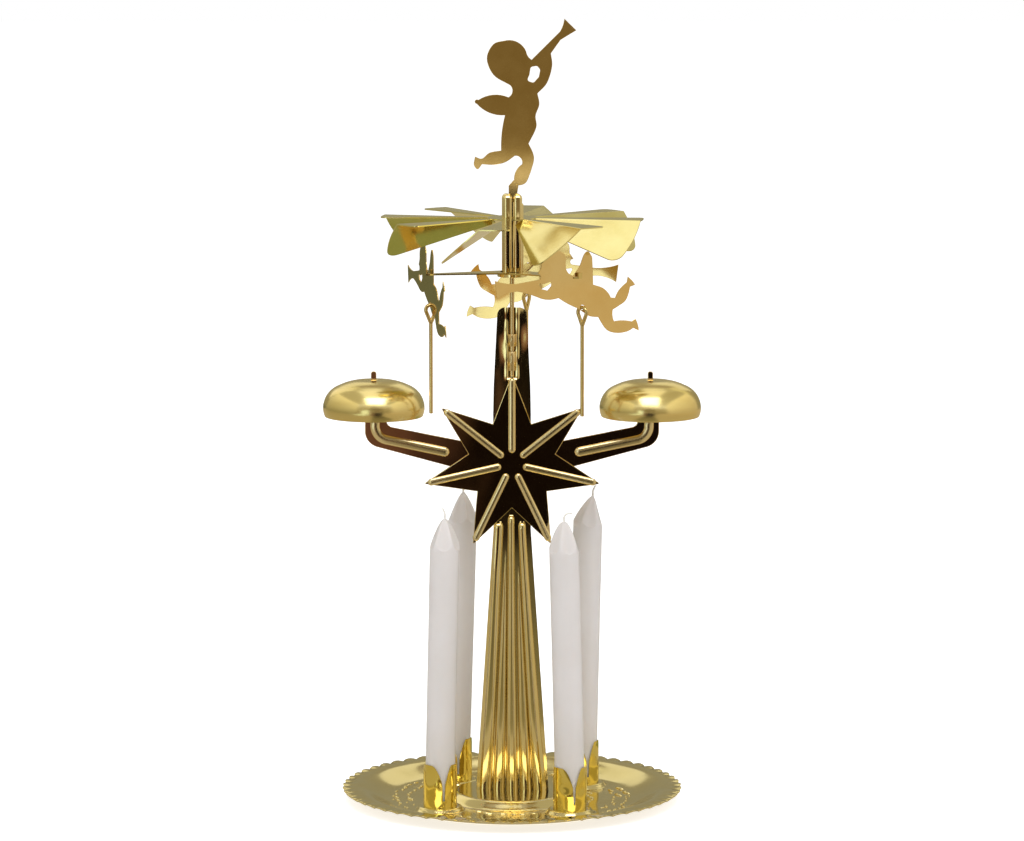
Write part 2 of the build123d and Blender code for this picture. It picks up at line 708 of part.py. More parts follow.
# Striker: a wire hung by a loop in the angel's hole
def make_striker(i):
    far = loop_length - loop_radius
    lean = asin(loop_radius / far)
    section = RegularPolygon(wire_radius, wire_sides)
    halves = Part()
    for side in (-1, 1):
        touch = (0, side * loop_radius * cos(lean), -loop_radius - loop_radius * sin(lean))
        quarter = (0, side * loop_radius * cos(radians(45)), -loop_radius + loop_radius * sin(radians(45)))
        leg = Line((0, 0, -loop_length), touch)
        arc = ThreePointArc(touch, quarter, (0, 0, 0))
        path = Wire([leg, arc])
        halves += sweep(Plane(origin=(0, 0, -loop_length), z_dir=leg % 0) * section, path)
    stem_top = wire_radius * sin(lean) - loop_length
    striker = halves + post(wire_radius, striker_foot - striker_hole_height, stem_top)
    return Pos(hole_place(i)) * Rot(0, 0, figure_headings[i] + 180) * striker


# Trumpeter: the standing angel on top, with a peg down into the hub
def make_trumpeter():
    face = outline_face(trumpeter_outline_shares, trumpeter_height)
    gap = make_face(FilletPolyline(
        *[(x * trumpeter_height, y * trumpeter_height) for x, y in trumpeter_gap_shares],
        radius=trumpeter_gap_corner, close=True))
    half = trumpeter_peg_width / 2
    peg_foot = hub_core_top - trumpeter_peg_depth + press_gap - trumpeter_foot
    root = [(x * trumpeter_height, y * trumpeter_height) for x, y in peg_root_shares]
    peg = make_face(Polyline((-half, peg_foot), (half, peg_foot), *root, (-half, -press_gap), close=True))
    return Pos(0, 0, trumpeter_foot) * upright(face + peg - gap, sheet)


for i, name in enumerate(cup_names):
    keep("cup_" + name, make_cup(cup_angles[i]))
    stand = (cup_angles[i], candle_leans[i])
    keep("candle_" + name, stand_candle(make_candle(candle_heights[i]), *stand))
    keep("wick_" + name, stand_candle(make_wick(candle_heights[i], wick_headings[i]), *stand))
keep("tray", make_tray())
keep("tower", make_tower())
keep("needle", make_needle())
keep("star", make_star())
keep("bell_yoke", make_yoke())
keep("bell_left", make_bell(-1))
keep("bell_right", make_bell(1))

keep("hub", make_hub())
keep("fan", make_fan())
keep("spider", make_spider())
keep("trumpeter", make_trumpeter())
for i, name in enumerate(figure_names):
    keep("angel_" + name, make_figure(i))
    keep("striker_" + name, make_striker(i))

os.makedirs("parts", exist_ok=True)
for name, shape in parts.items():
    solids = shape.solids()
    export_step(solids[0] if len(solids) == 1 else Compound(solids), "parts/" + name + ".step")
    box = shape.bounding_box()
    print(name, len(solids), round(shape.volume, 1), [round(v, 2) for v in (*box.min, *box.max)])
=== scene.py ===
"""Angel chime carousel of stamped sheet brass: the look model on the frame of the CAD part.

Sizes are in millimetres and angles in degrees unless a name says otherwise. The object stands
on the floor at the origin, +X runs from bell to bell and -Y faces the camera.
"""
import logging
import math
from dataclasses import dataclass
from enum import Enum
from typing import Callable, Mapping, Sequence

import bmesh
import bpy
from mathutils import Matrix, Vector


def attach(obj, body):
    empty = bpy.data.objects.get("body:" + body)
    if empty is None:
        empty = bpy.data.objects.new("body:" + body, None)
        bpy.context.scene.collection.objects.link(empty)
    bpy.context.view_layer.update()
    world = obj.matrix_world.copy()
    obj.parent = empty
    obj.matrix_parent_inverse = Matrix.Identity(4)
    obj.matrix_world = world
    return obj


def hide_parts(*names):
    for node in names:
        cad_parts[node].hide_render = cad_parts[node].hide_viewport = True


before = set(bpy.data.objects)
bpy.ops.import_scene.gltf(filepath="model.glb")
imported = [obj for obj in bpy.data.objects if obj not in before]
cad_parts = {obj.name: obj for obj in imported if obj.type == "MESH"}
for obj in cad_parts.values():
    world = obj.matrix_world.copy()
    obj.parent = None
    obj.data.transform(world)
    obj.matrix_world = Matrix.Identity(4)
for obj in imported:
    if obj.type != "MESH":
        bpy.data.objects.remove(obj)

log = logging.getLogger("angel_chime")

MM = 0.001
WELD = 0.0005
SHARP_ANGLE = 32.0
FLAT_ANGLE = 10.0
FULL_TURN = 2 * math.pi
WHITE = (1.0, 1.0, 1.0)
CLOUD_BAND = (0.34, 0.68)
PRINT_SCALE = 210.0

Point = tuple[float, float, float]
Point2 = tuple[float, float]
Colour = tuple[float, float, float]


class Axis(Enum):
    """The axis that copies of a piece are turned about."""

    X = (1.0, 0.0, 0.0)
    Y = (0.0, 1.0, 0.0)
    Z = (0.0, 0.0, 1.0)


# ---- plain geometry helpers ----


def polar(radius: float, angle: float, height: float = 0.0) -> Point:
    """A point at a radius and an angle round the vertical axis."""
    return radius * math.cos(math.radians(angle)), radius * math.sin(math.radians(angle)), height


def ease(x: float, low: float, high: float) -> float:
    """A smooth step from 0 at low to 1 at high."""
    t = min(1.0, max(0.0, (x - low) / (high - low)))
    return t * t * (3.0 - 2.0 * t)


def spread(low: float, high: float, count: int) -> list[float]:
    """Evenly spaced numbers from low to high, both ends among them."""
    return [low + (high - low) * i / (count - 1) for i in range(count)]


def arc_through(a: Point2, b: Point2, c: Point2, count: int) -> list[Point2]:
    """Points along the arc through three points.

    Args:
        a: First point.
        b: A point partway along the arc.
        c: Last point.
        count: How many points to return.

    Returns:
        The points from a to c.
    """
    d = 2 * (a[0] * (b[1] - c[1]) + b[0] * (c[1] - a[1]) + c[0] * (a[1] - b[1]))
    if abs(d) < 1e-12:
        return [(a[0] + (c[0] - a[0]) * t, a[1] + (c[1] - a[1]) * t) for t in spread(0, 1, count)]
    aa, bb, cc = (p[0] ** 2 + p[1] ** 2 for p in (a, b, c))
    ux = (aa * (b[1] - c[1]) + bb * (c[1] - a[1]) + cc * (a[1] - b[1])) / d
    uy = (aa * (c[0] - b[0]) + bb * (a[0] - c[0]) + cc * (b[0] - a[0])) / d
    radius = math.hypot(a[0] - ux, a[1] - uy)
    turns = [math.atan2(p[1] - uy, p[0] - ux) for p in (a, b, c)]
    sweep, part = (turns[2] - turns[0]) % FULL_TURN, (turns[1] - turns[0]) % FULL_TURN
    if part > sweep:
        sweep -= FULL_TURN
    return [(ux + radius * math.cos(turns[0] + sweep * t), uy + radius * math.sin(turns[0] + sweep * t))
            for t in spread(0, 1, count)]


def curve_through(points: Sequence[Point2], count: int) -> list[Point2]:
    """Points along one smooth curve through several points.

    Args:
        points: The points that the curve passes through.
        count: How many points to return for each span.

    Returns:
        The points along the curve, both ends among them.
    """
    first = (2 * points[0][0] - points[1][0], 2 * points[0][1] - points[1][1])
    last = (2 * points[-1][0] - points[-2][0], 2 * points[-1][1] - points[-2][1])
    p = [first, *points, last]
    out = []
    for i in range(1, len(p) - 2):
        for k in range(count):
            t = k / count
            out.append(tuple(
                0.5 * (2 * p[i][j] + (p[i + 1][j] - p[i - 1][j]) * t
                       + (2 * p[i - 1][j] - 5 * p[i][j] + 4 * p[i + 1][j] - p[i + 2][j]) * t ** 2
                       + (3 * p[i][j] - p[i - 1][j] - 3 * p[i + 1][j] + p[i + 2][j]) * t ** 3)
                for j in (0, 1)))
    return out + [tuple(points[-1])]


def trace(runs: Sequence[Sequence[Point2]], size: float) -> list[Point2]:
    """The closed outline of a stamping from its runs of share points.

    Args:
        runs: Two points are a line, three an arc, and more one smooth curve.
        size: What the shares are multiplied by.

    Returns:
        The outline's points without a doubled last one.
    """
    out: list[Point2] = []
    for run in runs:
        run = [(x * size, y * size) for x, y in run]
        if len(run) == 2:
            points = list(run)
        elif len(run) == 3:
            points = arc_through(*run, 9)
        else:
            points = curve_through(run, 6)
        out += points[:-1]
    return out


def rounded(corners: Sequence[tuple[float, float, float]], steps: int = 6) -> list[Point2]:
    """A closed outline with rounded corners.

    Args:
        corners: Each corner's two coordinates and its radius.
        steps: How many pieces each round has.

    Returns:
        The outline's points.
    """
    out: list[Point2] = []
    n = len(corners)
    for i, (x, y, radius) in enumerate(corners):
        if radius <= 0:
            out.append((x, y))
            continue
        here = Vector((x, y))
        before = (Vector(corners[i - 1][:2]) - here).normalized()
        after = (Vector(corners[(i + 1) % n][:2]) - here).normalized()
        half = before.angle(after) / 2
        reach = radius / math.tan(half)
        start, end = here + before * reach, here + after * reach
        middle = here + (before + after).normalized() * (radius / math.sin(half) - radius)
        out += arc_through(tuple(start), tuple(middle), tuple(end), steps + 1)
    return out


# ---- mesh helpers ----


class Skin:
    """Gathers points and faces, in millimetres, for one mesh."""

    def __init__(self) -> None:
        """Starts with nothing in it."""
        self.points: list[Point] = []
        self.faces: list[tuple[int, ...]] = []

    def grid(self, rows: Sequence[Sequence[Point]], ring: bool = False, loop: bool = False) -> "Skin":
        """Adds a net of four-sided faces.

        Args:
            rows: Rows of points, all of one length.
            ring: Whether the last row joins the first.
            loop: Whether each row closes on itself.

        Returns:
            This skin.
        """
        base, wide = len(self.points), len(rows[0])
        for row in rows:
            self.points += row
        for i in range(len(rows) if ring else len(rows) - 1):
            for j in range(wide if loop else wide - 1):
                a, b = base + i * wide, base + ((i + 1) % len(rows)) * wide
                k = (j + 1) % wide
                self.faces.append((a + j, b + j, b + k, a + k))
        return self

    def cap(self, loop: Sequence[Point]) -> "Skin":
        """Adds one flat face over a loop of points.

        Args:
            loop: The points round the face.

        Returns:
            This skin.
        """
        base = len(self.points)
        self.points += loop
        self.faces.append(tuple(range(base, base + len(loop))))
        return self

    def box(self, low: Point, high: Point) -> "Skin":
        """Adds a closed block between two corners.

        Args:
            low: The corner with the smallest coordinates.
            high: The opposite corner.

        Returns:
            This skin.
        """
        (x0, y0, z0), (x1, y1, z1) = low, high
        foot = [(x0, y0, z0), (x1, y0, z0), (x1, y1, z0), (x0, y1, z0)]
        top = [(x, y, z1) for x, y, _ in foot]
        return self.grid([foot, top], loop=True).cap(foot).cap(top)

    def piece(self, name: str, sharp: float = SHARP_ANGLE) -> bpy.types.Object:
        """Makes the object.

        Args:
            name: The object's name.
            sharp: The angle in degrees past which an edge stays sharp.

        Returns:
            The linked object, welded and with its faces pointing outwards.
        """
        bm = bmesh.new()
        made = [bm.verts.new((x * MM, y * MM, z * MM)) for x, y, z in self.points]
        for face in self.faces:
            bm.faces.new([made[i] for i in face])
        return settle(name, bm, sharp)


def settle(name: str, bm: bmesh.types.BMesh, sharp: float = SHARP_ANGLE) -> bpy.types.Object:
    """Welds a mesh, turns its faces outwards and links it as an object.

    Args:
        name: The object's name.
        bm: The mesh, in metres, which is freed.
        sharp: The angle in degrees past which an edge stays sharp.

    Returns:
        The linked object.
    """
    bmesh.ops.remove_doubles(bm, verts=bm.verts, dist=WELD * MM)
    bmesh.ops.dissolve_degenerate(bm, dist=WELD * MM * 0.1, edges=bm.edges)
    bmesh.ops.recalc_face_normals(bm, faces=bm.faces)
    mesh = bpy.data.meshes.new(name)
    bm.to_mesh(mesh)
    bm.free()
    return link(name, mesh, sharp)


def link(name: str, mesh: bpy.types.Mesh, sharp: float = SHARP_ANGLE) -> bpy.types.Object:
    """Shades a mesh smoothly up to an angle and links it as an object.

    Args:
        name: The object's name.
        mesh: Its mesh.
        sharp: The angle in degrees past which an edge stays sharp.

    Returns:
        The linked object.
    """
    mesh.shade_smooth()
    mesh.set_sharp_from_angle(angle=math.radians(sharp))
    piece = bpy.data.objects.new(name, mesh)
    bpy.context.collection.objects.link(piece)
    return piece


def move(piece: bpy.types.Object, matrix: Matrix) -> bpy.types.Object:
    """Moves the points of a piece, leaving its object where it is."""
    piece.data.transform(matrix)
    return piece


def shift(x: float, y: float, z: float) -> Matrix:
    """A move in millimetres."""
    return Matrix.Translation((x * MM, y * MM, z * MM))


def turn(angle: float, axis: str = "Z") -> Matrix:
    """A turn in degrees about an axis through the origin."""
    return Matrix.Rotation(math.radians(angle), 4, axis)


def lathe(name: str, profile: Sequence[Point2], segments: int,
          sharp: float = SHARP_ANGLE) -> bpy.types.Object:
    """Turns a closed or pole-to-pole profile of radius and height about the vertical axis."""
    columns = [[polar(r, 360 * i / segments, z) for r, z in profile] for i in range(segments)]
    return Skin().grid(columns, ring=True, loop=True).piece(name, sharp)


def stamping(name: str, loops: Sequence[Sequence[Point2]], thick: float, edge: float) -> bpy.types.Object:
    """A flat sheet with softened edges, standing in the XZ plane and centred on Y = 0.

    Args:
        name: The object's name.
        loops: The outline, then any holes, in millimetres.
        thick: The sheet's thickness.
        edge: The size of the soft edge.

    Returns:
        The linked object.
    """
    curve = bpy.data.curves.new(name, "CURVE")
    curve.dimensions, curve.fill_mode = "2D", "BOTH"
    curve.extrude = (thick / 2 - edge) * MM
    curve.bevel_depth, curve.bevel_resolution, curve.offset = edge * MM, 2, -edge * MM
    for loop in loops:
        spline = curve.splines.new("POLY")
        spline.points.add(len(loop) - 1)
        for point, (x, z) in zip(spline.points, loop):
            point.co = (x * MM, z * MM, 0.0, 1.0)
        spline.use_cyclic_u = True
    holder = bpy.data.objects.new(name + "_outline", curve)
    bpy.context.collection.objects.link(holder)
    flat = bpy.data.meshes.new_from_object(holder)
    bpy.data.objects.remove(holder)
    bpy.data.curves.remove(curve)
    bm = bmesh.new()
    bm.from_mesh(flat)
    bpy.data.meshes.remove(flat)
    bm.transform(turn(90, "X"))
    return settle(name, bm, FLAT_ANGLE)


def wire(name: str, path: Sequence[Point], radius: float, sides: int, loop: bool = False,
         taper: Callable[[float], float] = lambda t: 1.0) -> bpy.types.Object:
    """A round wire along a path.

    Args:
        name: The object's name.
        path: The points along its middle.
        radius: The wire's radius.
        sides: How many sides its section has.
        loop: Whether the path closes on itself.
        taper: The share of the radius at a share of the path.

    Returns:
        The linked object, closed at its ends.
    """
    points = [Vector(p) for p in path]
    count = len(points)
    side = Vector((0.0, 1.0, 0.0))
    rows = []
    for i, here in enumerate(points):
        if loop:
            along = points[(i + 1) % count] - points[i - 1]
        else:
            along = points[min(i + 1, count - 1)] - points[max(i - 1, 0)]
        along.normalize()
        side = (side - along * side.dot(along)).normalized()
        across = along.cross(side)
        size = radius * taper(i / (count - 1))
        rows.append([tuple(here + side * size * math.cos(a) + across * size * math.sin(a))
                     for a in (FULL_TURN * k / sides for k in range(sides))])
    skin = Skin().grid(rows, ring=loop, loop=True)
    if not loop:
        skin.cap(rows[0]).cap(rows[-1])
    return skin.piece(name)


def pressed_rib(skin: Skin, path: Sequence[Point2], width: float, rise: float, face: float) -> None:
    """Adds a rounded rib with rounded ends along a path on a sheet that faces -Y.

    Args:
        skin: What the rib is added to.
        path: Points of the rib's middle line, X and Z.
        width: The rib's width at its foot.
        rise: How far it stands out of the sheet.
        face: The Y of the sheet's front.
    """
    points = [Vector(p) for p in path]
    lengths = [0.0]
    for a, b in zip(points, points[1:]):
        lengths.append(lengths[-1] + (b - a).length)
    total, half = lengths[-1], width / 2
    ends = [half * (1 - math.cos(math.radians(a))) for a in (0.5, 15, 30, 45, 60, 75, 90)]
    stations = sorted({*ends, *(total - e for e in ends),
                       *(s for s in spread(0, total, 40) if half < s < total - half),
                       *(s for s in lengths if half < s < total - half)})
    rows, k = [], 0
    for s in stations:
        while k < len(points) - 2 and lengths[k + 1] < s:
            k += 1
        t = (s - lengths[k]) / (lengths[k + 1] - lengths[k])
        here = points[k].lerp(points[k + 1], t)
        before, after = points[max(k - 1, 0)], points[min(k + 2, len(points) - 1)]
        along = (points[k + 1] - before).normalized().lerp((after - points[k]).normalized(), t).normalized()
        across = Vector((-along.y, along.x))
        near = min(s, total - s)
        scale = math.sqrt(max(0.0, 1 - (1 - near / half) ** 2)) if near < half else 1.0
        row = []
        for a in spread(0, math.pi, 15):
            w = half * scale * math.cos(a)
            y = face + 0.02 - (rise + 0.02) * scale * math.sin(a) ** 0.8
            row.append((here.x + across.x * w, y, here.y + across.y * w))
        row.append((here.x, face + 0.1, here.y))
        rows.append(row)
    skin.grid(rows, loop=True).cap(rows[0]).cap(rows[-1])


def joined(name: str, pieces: Sequence[bpy.types.Object]) -> bpy.types.Object:
    """Joins pieces into one object, keeping each shell closed and its sharp edges.

    Args:
        name: The new object's name.
        pieces: The pieces, which are removed.

    Returns:
        The linked object.
    """
    bm = bmesh.new()
    for piece in pieces:
        bm.from_mesh(piece.data)
        mesh = piece.data
        bpy.data.objects.remove(piece)
        bpy.data.meshes.remove(mesh)
    mesh = bpy.data.meshes.new(name)
    bm.to_mesh(mesh)
    bm.free()
    whole = bpy.data.objects.new(name, mesh)
    bpy.context.collection.objects.link(whole)
    return whole


def seat(piece: bpy.types.Object, body: str, slot: str, *nodes: str) -> bpy.types.Object:
    """Makes a piece ride on a body and lets it stand for CAD nodes.

    Args:
        piece: The finished piece.
        body: The CAD body it moves with.
        slot: Not used.
        nodes: The CAD nodes it stands for.

    Returns:
        The piece.
    """
    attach(piece, body)
    if nodes:
        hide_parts(*nodes)
    log.info("%s: %d faces on %s", piece.name, len(piece.data.polygons), body)
    return piece


# ---- node trees ----


class Graph:
    """A node tree that is filled node by node."""

    def __init__(self, tree: bpy.types.NodeTree) -> None:
        """Starts on a tree."""
        self.tree = tree

    def add(self, kind: str, inputs: Mapping[str | int, object] | None = None,
            **settings: object) -> bpy.types.Node:
        """Adds a node.

        Args:
            kind: Blender's name for the node.
            inputs: For each input its value, or the socket that feeds it.
            settings: The node's own settings.

        Returns:
            The node.
        """
        node = self.tree.nodes.new(kind)
        for name, value in settings.items():
            setattr(node, name, value)
        for key, value in (inputs or {}).items():
            if isinstance(value, bpy.types.NodeSocket):
                self.tree.links.new(value, node.inputs[key])
            else:
                node.inputs[key].default_value = value
        return node

    def math(self, operation: str, *values: object) -> bpy.types.NodeSocket:
        """Adds a Math node on values or sockets and returns its output."""
        return self.add("ShaderNodeMath", dict(enumerate(values)), operation=operation).outputs[0]

    def scaled(self, vector: object, scale: object) -> bpy.types.NodeSocket:
        """Adds a node that scales a vector and returns its output."""
        return self.add("ShaderNodeVectorMath", {0: vector, "Scale": scale}, operation="SCALE").outputs[0]

    def mixed(self, share: object, first: object, second: object) -> bpy.types.NodeSocket:
        """Adds a node that mixes two colours and returns its output."""
        return self.add("ShaderNodeMix", {"Factor": share, "A": first, "B": second},
                        data_type="RGBA").outputs["Result"]

    def finish(self, instances: bpy.types.NodeSocket, material: bpy.types.NodeSocket) -> bpy.types.NodeTree:
        """Ends a Geometry Nodes tree with real, dressed geometry.

        Args:
            instances: The instances that the tree has made.
            material: The material that they get.

        Returns:
            The finished tree.
        """
        real = self.add("GeometryNodeRealizeInstances", {"Geometry": instances})
        dressed = self.add("GeometryNodeSetMaterial", {"Geometry": real.outputs[0], "Material": material})
        self.add("NodeGroupOutput", {"Geometry": dressed.outputs[0]})
        return self.tree


def new_tree(name: str, kind: str, takes: dict[str, str],
             gives: dict[str, str]) -> tuple[Graph, bpy.types.NodeOutputs]:
    """Starts a node group with named sockets.

    Args:
        name: The group's name.
        kind: Blender's name for the kind of tree.
        takes: The kind of each input by its name.
        gives: The kind of each output by its name.

    Returns:
        The graph, and the sockets that give the group's inputs.
    """
    tree = bpy.data.node_groups.new(name, kind)
    for way, sockets in (("INPUT", takes), ("OUTPUT", gives)):
        for label, socket in sockets.items():
            tree.interface.new_socket(label, in_out=way, socket_type="NodeSocket" + socket)
    graph = Graph(tree)
    return graph, graph.add("NodeGroupInput").outputs


def turned_copies_tree() -> bpy.types.NodeTree:
    """A tree that sets copies of a piece round an axis through a centre.

    Returns:
        The tree, with inputs Count, Axis, Centre, Step, First and Material.
    """
    graph, entry = new_tree("turned_copies", "GeometryNodeTree", {
        "Geometry": "Geometry", "Count": "Int", "Axis": "Vector", "Centre": "Vector",
        "Step": "Float", "First": "Float", "Material": "Material"}, {"Geometry": "Geometry"})
    centred = graph.add("GeometryNodeTransform", {
        "Geometry": entry["Geometry"], "Translation": graph.scaled(entry["Centre"], -1.0)})
    spots = graph.add("GeometryNodePoints", {"Count": entry["Count"], "Position": entry["Centre"]})
    index = graph.add("GeometryNodeInputIndex").outputs["Index"]
    spin = graph.add("FunctionNodeAxisAngleToRotation", {
        "Axis": entry["Axis"], "Angle": graph.math("MULTIPLY_ADD", index, entry["Step"], entry["First"])})
    copies = graph.add("GeometryNodeInstanceOnPoints", {
        "Points": spots.outputs["Points"], "Instance": centred.outputs["Geometry"],
        "Rotation": spin.outputs["Rotation"]})
    return graph.finish(copies.outputs["Instances"], entry["Material"])


def ring_marks_tree() -> bpy.types.NodeTree:
    """A tree that scatters pressed dashes on rings of a round dish.

    Returns:
        The tree, with inputs Count, Radius, Height, Jitter, Length, Width, Rise, Tilt, Least, Most,
        Seed and Material.
    """
    graph, entry = new_tree("ring_marks", "GeometryNodeTree", {
        "Count": "Int", "Radius": "Float", "Height": "Float", "Jitter": "Float", "Length": "Float",
        "Width": "Float", "Rise": "Float", "Tilt": "Float", "Least": "Float", "Most": "Float",
        "Seed": "Int", "Material": "Material"}, {"Geometry": "Geometry"})

    def chance(low: object, high: object) -> bpy.types.NodeSocket:
        """A random number between two others for each mark."""
        return graph.add("FunctionNodeRandomValue", {2: low, 3: high, "Seed": entry["Seed"]},
                         data_type="FLOAT").outputs[1]

    circle = graph.add("GeometryNodeMeshCircle", {"Vertices": entry["Count"], "Radius": entry["Radius"]})
    low, high = (graph.add("ShaderNodeCombineXYZ", {"X": side, "Y": side, "Z": entry["Height"]}).outputs[0]
                 for side in (graph.math("MULTIPLY", entry["Jitter"], -1.0), entry["Jitter"]))
    jitter = graph.add("FunctionNodeRandomValue", {0: low, 1: high, "Seed": entry["Seed"]},
                       data_type="FLOAT_VECTOR")
    moved = graph.add("GeometryNodeSetPosition", {
        "Geometry": circle.outputs["Mesh"], "Offset": jitter.outputs[0]})
    bead = graph.add("GeometryNodeMeshIcoSphere", {"Radius": 1.0, "Subdivisions": 2})
    index = graph.add("GeometryNodeInputIndex").outputs["Index"]
    tilt = chance(graph.math("MULTIPLY", entry["Tilt"], -1.0), entry["Tilt"])
    heading = graph.math("MULTIPLY_ADD", graph.math("DIVIDE", index, entry["Count"]), FULL_TURN, tilt)
    size = graph.add("ShaderNodeCombineXYZ", {"X": entry["Width"], "Y": entry["Length"], "Z": entry["Rise"]})
    marks = graph.add("GeometryNodeInstanceOnPoints", {
        "Points": moved.outputs["Geometry"], "Instance": bead.outputs["Mesh"],
        "Rotation": graph.add("ShaderNodeCombineXYZ", {"Z": heading}).outputs[0],
        "Scale": graph.scaled(size.outputs[0], chance(entry["Least"], entry["Most"]))})
    return graph.finish(marks.outputs["Instances"], entry["Material"])


def plain_mesh(piece: bpy.types.Object, modifier: bpy.types.Modifier) -> bpy.types.Object:
    """Leaves the result of a piece's only modifier as its mesh.

    Args:
        piece: The piece.
        modifier: The modifier, which is removed.

    Returns:
        The piece.
    """
    bpy.context.view_layer.update()
    made = bpy.data.meshes.new_from_object(piece.evaluated_get(bpy.context.evaluated_depsgraph_get()))
    piece.modifiers.remove(modifier)
    old, piece.data = piece.data, made
    made.name = piece.name
    bpy.data.meshes.remove(old)
    made.shade_smooth()
    made.set_sharp_from_angle(angle=math.radians(SHARP_ANGLE))
    return piece


def grow(piece: bpy.types.Object, tree: str, values: dict[str, object]) -> bpy.types.Object:
    """Runs a tree on a piece.

    Args:
        piece: The piece the tree starts from.
        tree: The name of the Geometry Nodes tree.
        values: The tree's inputs by name.

    Returns:
        The piece with its new mesh and no modifier.
    """
    modifier = piece.modifiers.new(tree, "NODES")
    modifier.node_group = bpy.data.node_groups[tree]
    for item in modifier.node_group.interface.items_tree:
        if item.in_out == "INPUT" and item.name in values:
            modifier[item.identifier] = values[item.name]
    return plain_mesh(piece, modifier)


# ---- finishes ----


def colour4(colour: Colour) -> tuple[float, float, float, float]:
    """A colour with full opacity."""
    return (*colour, 1.0)


def sheet_tone_group() -> bpy.types.NodeTree:
    """The colour and gloss of a handled surface, as a group used by every finish.

    Returns:
        The group: Vector, Light, Deep, Mottle, Rough and Smudge in, Colour and Roughness out.
    """
    graph, entry = new_tree("sheet_tone", "ShaderNodeTree", {
        "Vector": "Vector", "Light": "Color", "Deep": "Color", "Mottle": "Float", "Rough": "Float",
        "Smudge": "Float"}, {"Colour": "Color", "Roughness": "Float"})
    cloud = graph.add("ShaderNodeTexNoise", {
        "Vector": entry["Vector"], "Scale": entry["Mottle"], "Detail": 4.0, "Roughness": 0.6})
    share = graph.add("ShaderNodeMapRange", {
        "Value": cloud.outputs["Fac"], "From Min": CLOUD_BAND[0],
        "From Max": CLOUD_BAND[1]}).outputs["Result"]
    mix = graph.mixed(share, entry["Light"], entry["Deep"])
    prints = graph.add("ShaderNodeTexNoise", {"Vector": entry["Vector"], "Scale": PRINT_SCALE, "Detail": 3.0})
    gloss = graph.math("MULTIPLY_ADD", prints.outputs["Fac"], entry["Smudge"], entry["Rough"])
    graph.add("NodeGroupOutput", {"Colour": mix, "Roughness": gloss})
    return graph.tree


def sheet_relief_group() -> bpy.types.NodeTree:
    """The slow waves and fine grain of a surface, as a group used by every finish.

    Returns:
        The group: Vector, Wave Scale, Wave, Grain Scale and Grain in, Height out.
    """
    graph, entry = new_tree("sheet_relief", "ShaderNodeTree", {
        "Vector": "Vector", "Wave Scale": "Float", "Wave": "Float", "Grain Scale": "Float",
        "Grain": "Float"}, {"Height": "Float"})
    waves, grain = (graph.add("ShaderNodeTexNoise", {
        "Vector": entry["Vector"], "Scale": entry[scale], "Detail": detail}).outputs["Fac"]
        for scale, detail in (("Wave Scale", 1.0), ("Grain Scale", 3.0)))
    slow = graph.math("MULTIPLY", waves, entry["Wave"])
    graph.add("NodeGroupOutput", {"Height": graph.math("MULTIPLY_ADD", grain, entry["Grain"], slow)})
    return graph.tree


def blank_material(name: str) -> tuple[bpy.types.Material, Graph]:
    """A new material without nodes, and its graph.

    Args:
        name: The material's name.

    Returns:
        The material and its graph.
    """
    material = bpy.data.materials.new(name)
    material.use_nodes = True
    material.node_tree.nodes.clear()
    return material, Graph(material.node_tree)


def surface(name: str, tone: dict[str, object], relief: dict[str, object], plain: dict[str, object],
            stretch: Point = (1.0, 1.0, 1.0)) -> bpy.types.Material:
    """A material made of the two shared groups and one shader.

    Args:
        name: The material's name.
        tone: The values of the sheet_tone group.
        relief: The values of the sheet_relief group.
        plain: The values that are the same all over, set on the shader itself.
        stretch: How much finer the pattern is along each axis.

    Returns:
        The material.
    """
    material, graph = blank_material(name)
    where = graph.add("ShaderNodeTexCoord").outputs["Object"]
    turned = graph.add("ShaderNodeMapping", {"Vector": where, "Scale": stretch}).outputs["Vector"]
    toned, raised = (graph.add("ShaderNodeGroup", {"Vector": turned, **values},
                               node_tree=bpy.data.node_groups[group]).outputs
                     for group, values in (("sheet_tone", tone), ("sheet_relief", relief)))
    bump = graph.add("ShaderNodeBump", {"Distance": MM, "Height": raised["Height"]})
    shader = graph.add("ShaderNodeBsdfPrincipled", {
        "Base Color": toned["Colour"], "Roughness": toned["Roughness"],
        "Normal": bump.outputs["Normal"], **plain})
    graph.add("ShaderNodeOutputMaterial", {"Surface": shader.outputs["BSDF"]})
    return material


@dataclass(frozen=True)
class BrassFinish:
    """One finish of sheet brass."""

    name: str
    light: Colour
    deep: Colour
    rough: float = 0.1
    smudge: float = 0.06
    mottle: float = 60.0
    wave_scale: float = 30.0
    wave: float = 0.5
    grain_scale: float = 900.0
    grain: float = 0.01
    stretch: Point = (1.0, 1.0, 1.0)

    def material(self) -> bpy.types.Material:
        """Builds the finish's material: mirror-like metal with clouds, prints and slow waves.

        Returns:
            The material.
        """
        tone = {"Light": colour4(self.light), "Deep": colour4(self.deep), "Mottle": self.mottle,
                "Rough": self.rough, "Smudge": self.smudge}
        relief = {"Wave Scale": self.wave_scale, "Wave": self.wave, "Grain Scale": self.grain_scale,
                  "Grain": self.grain}
        return surface(self.name, tone, relief, {"Metallic": 1.0}, self.stretch)


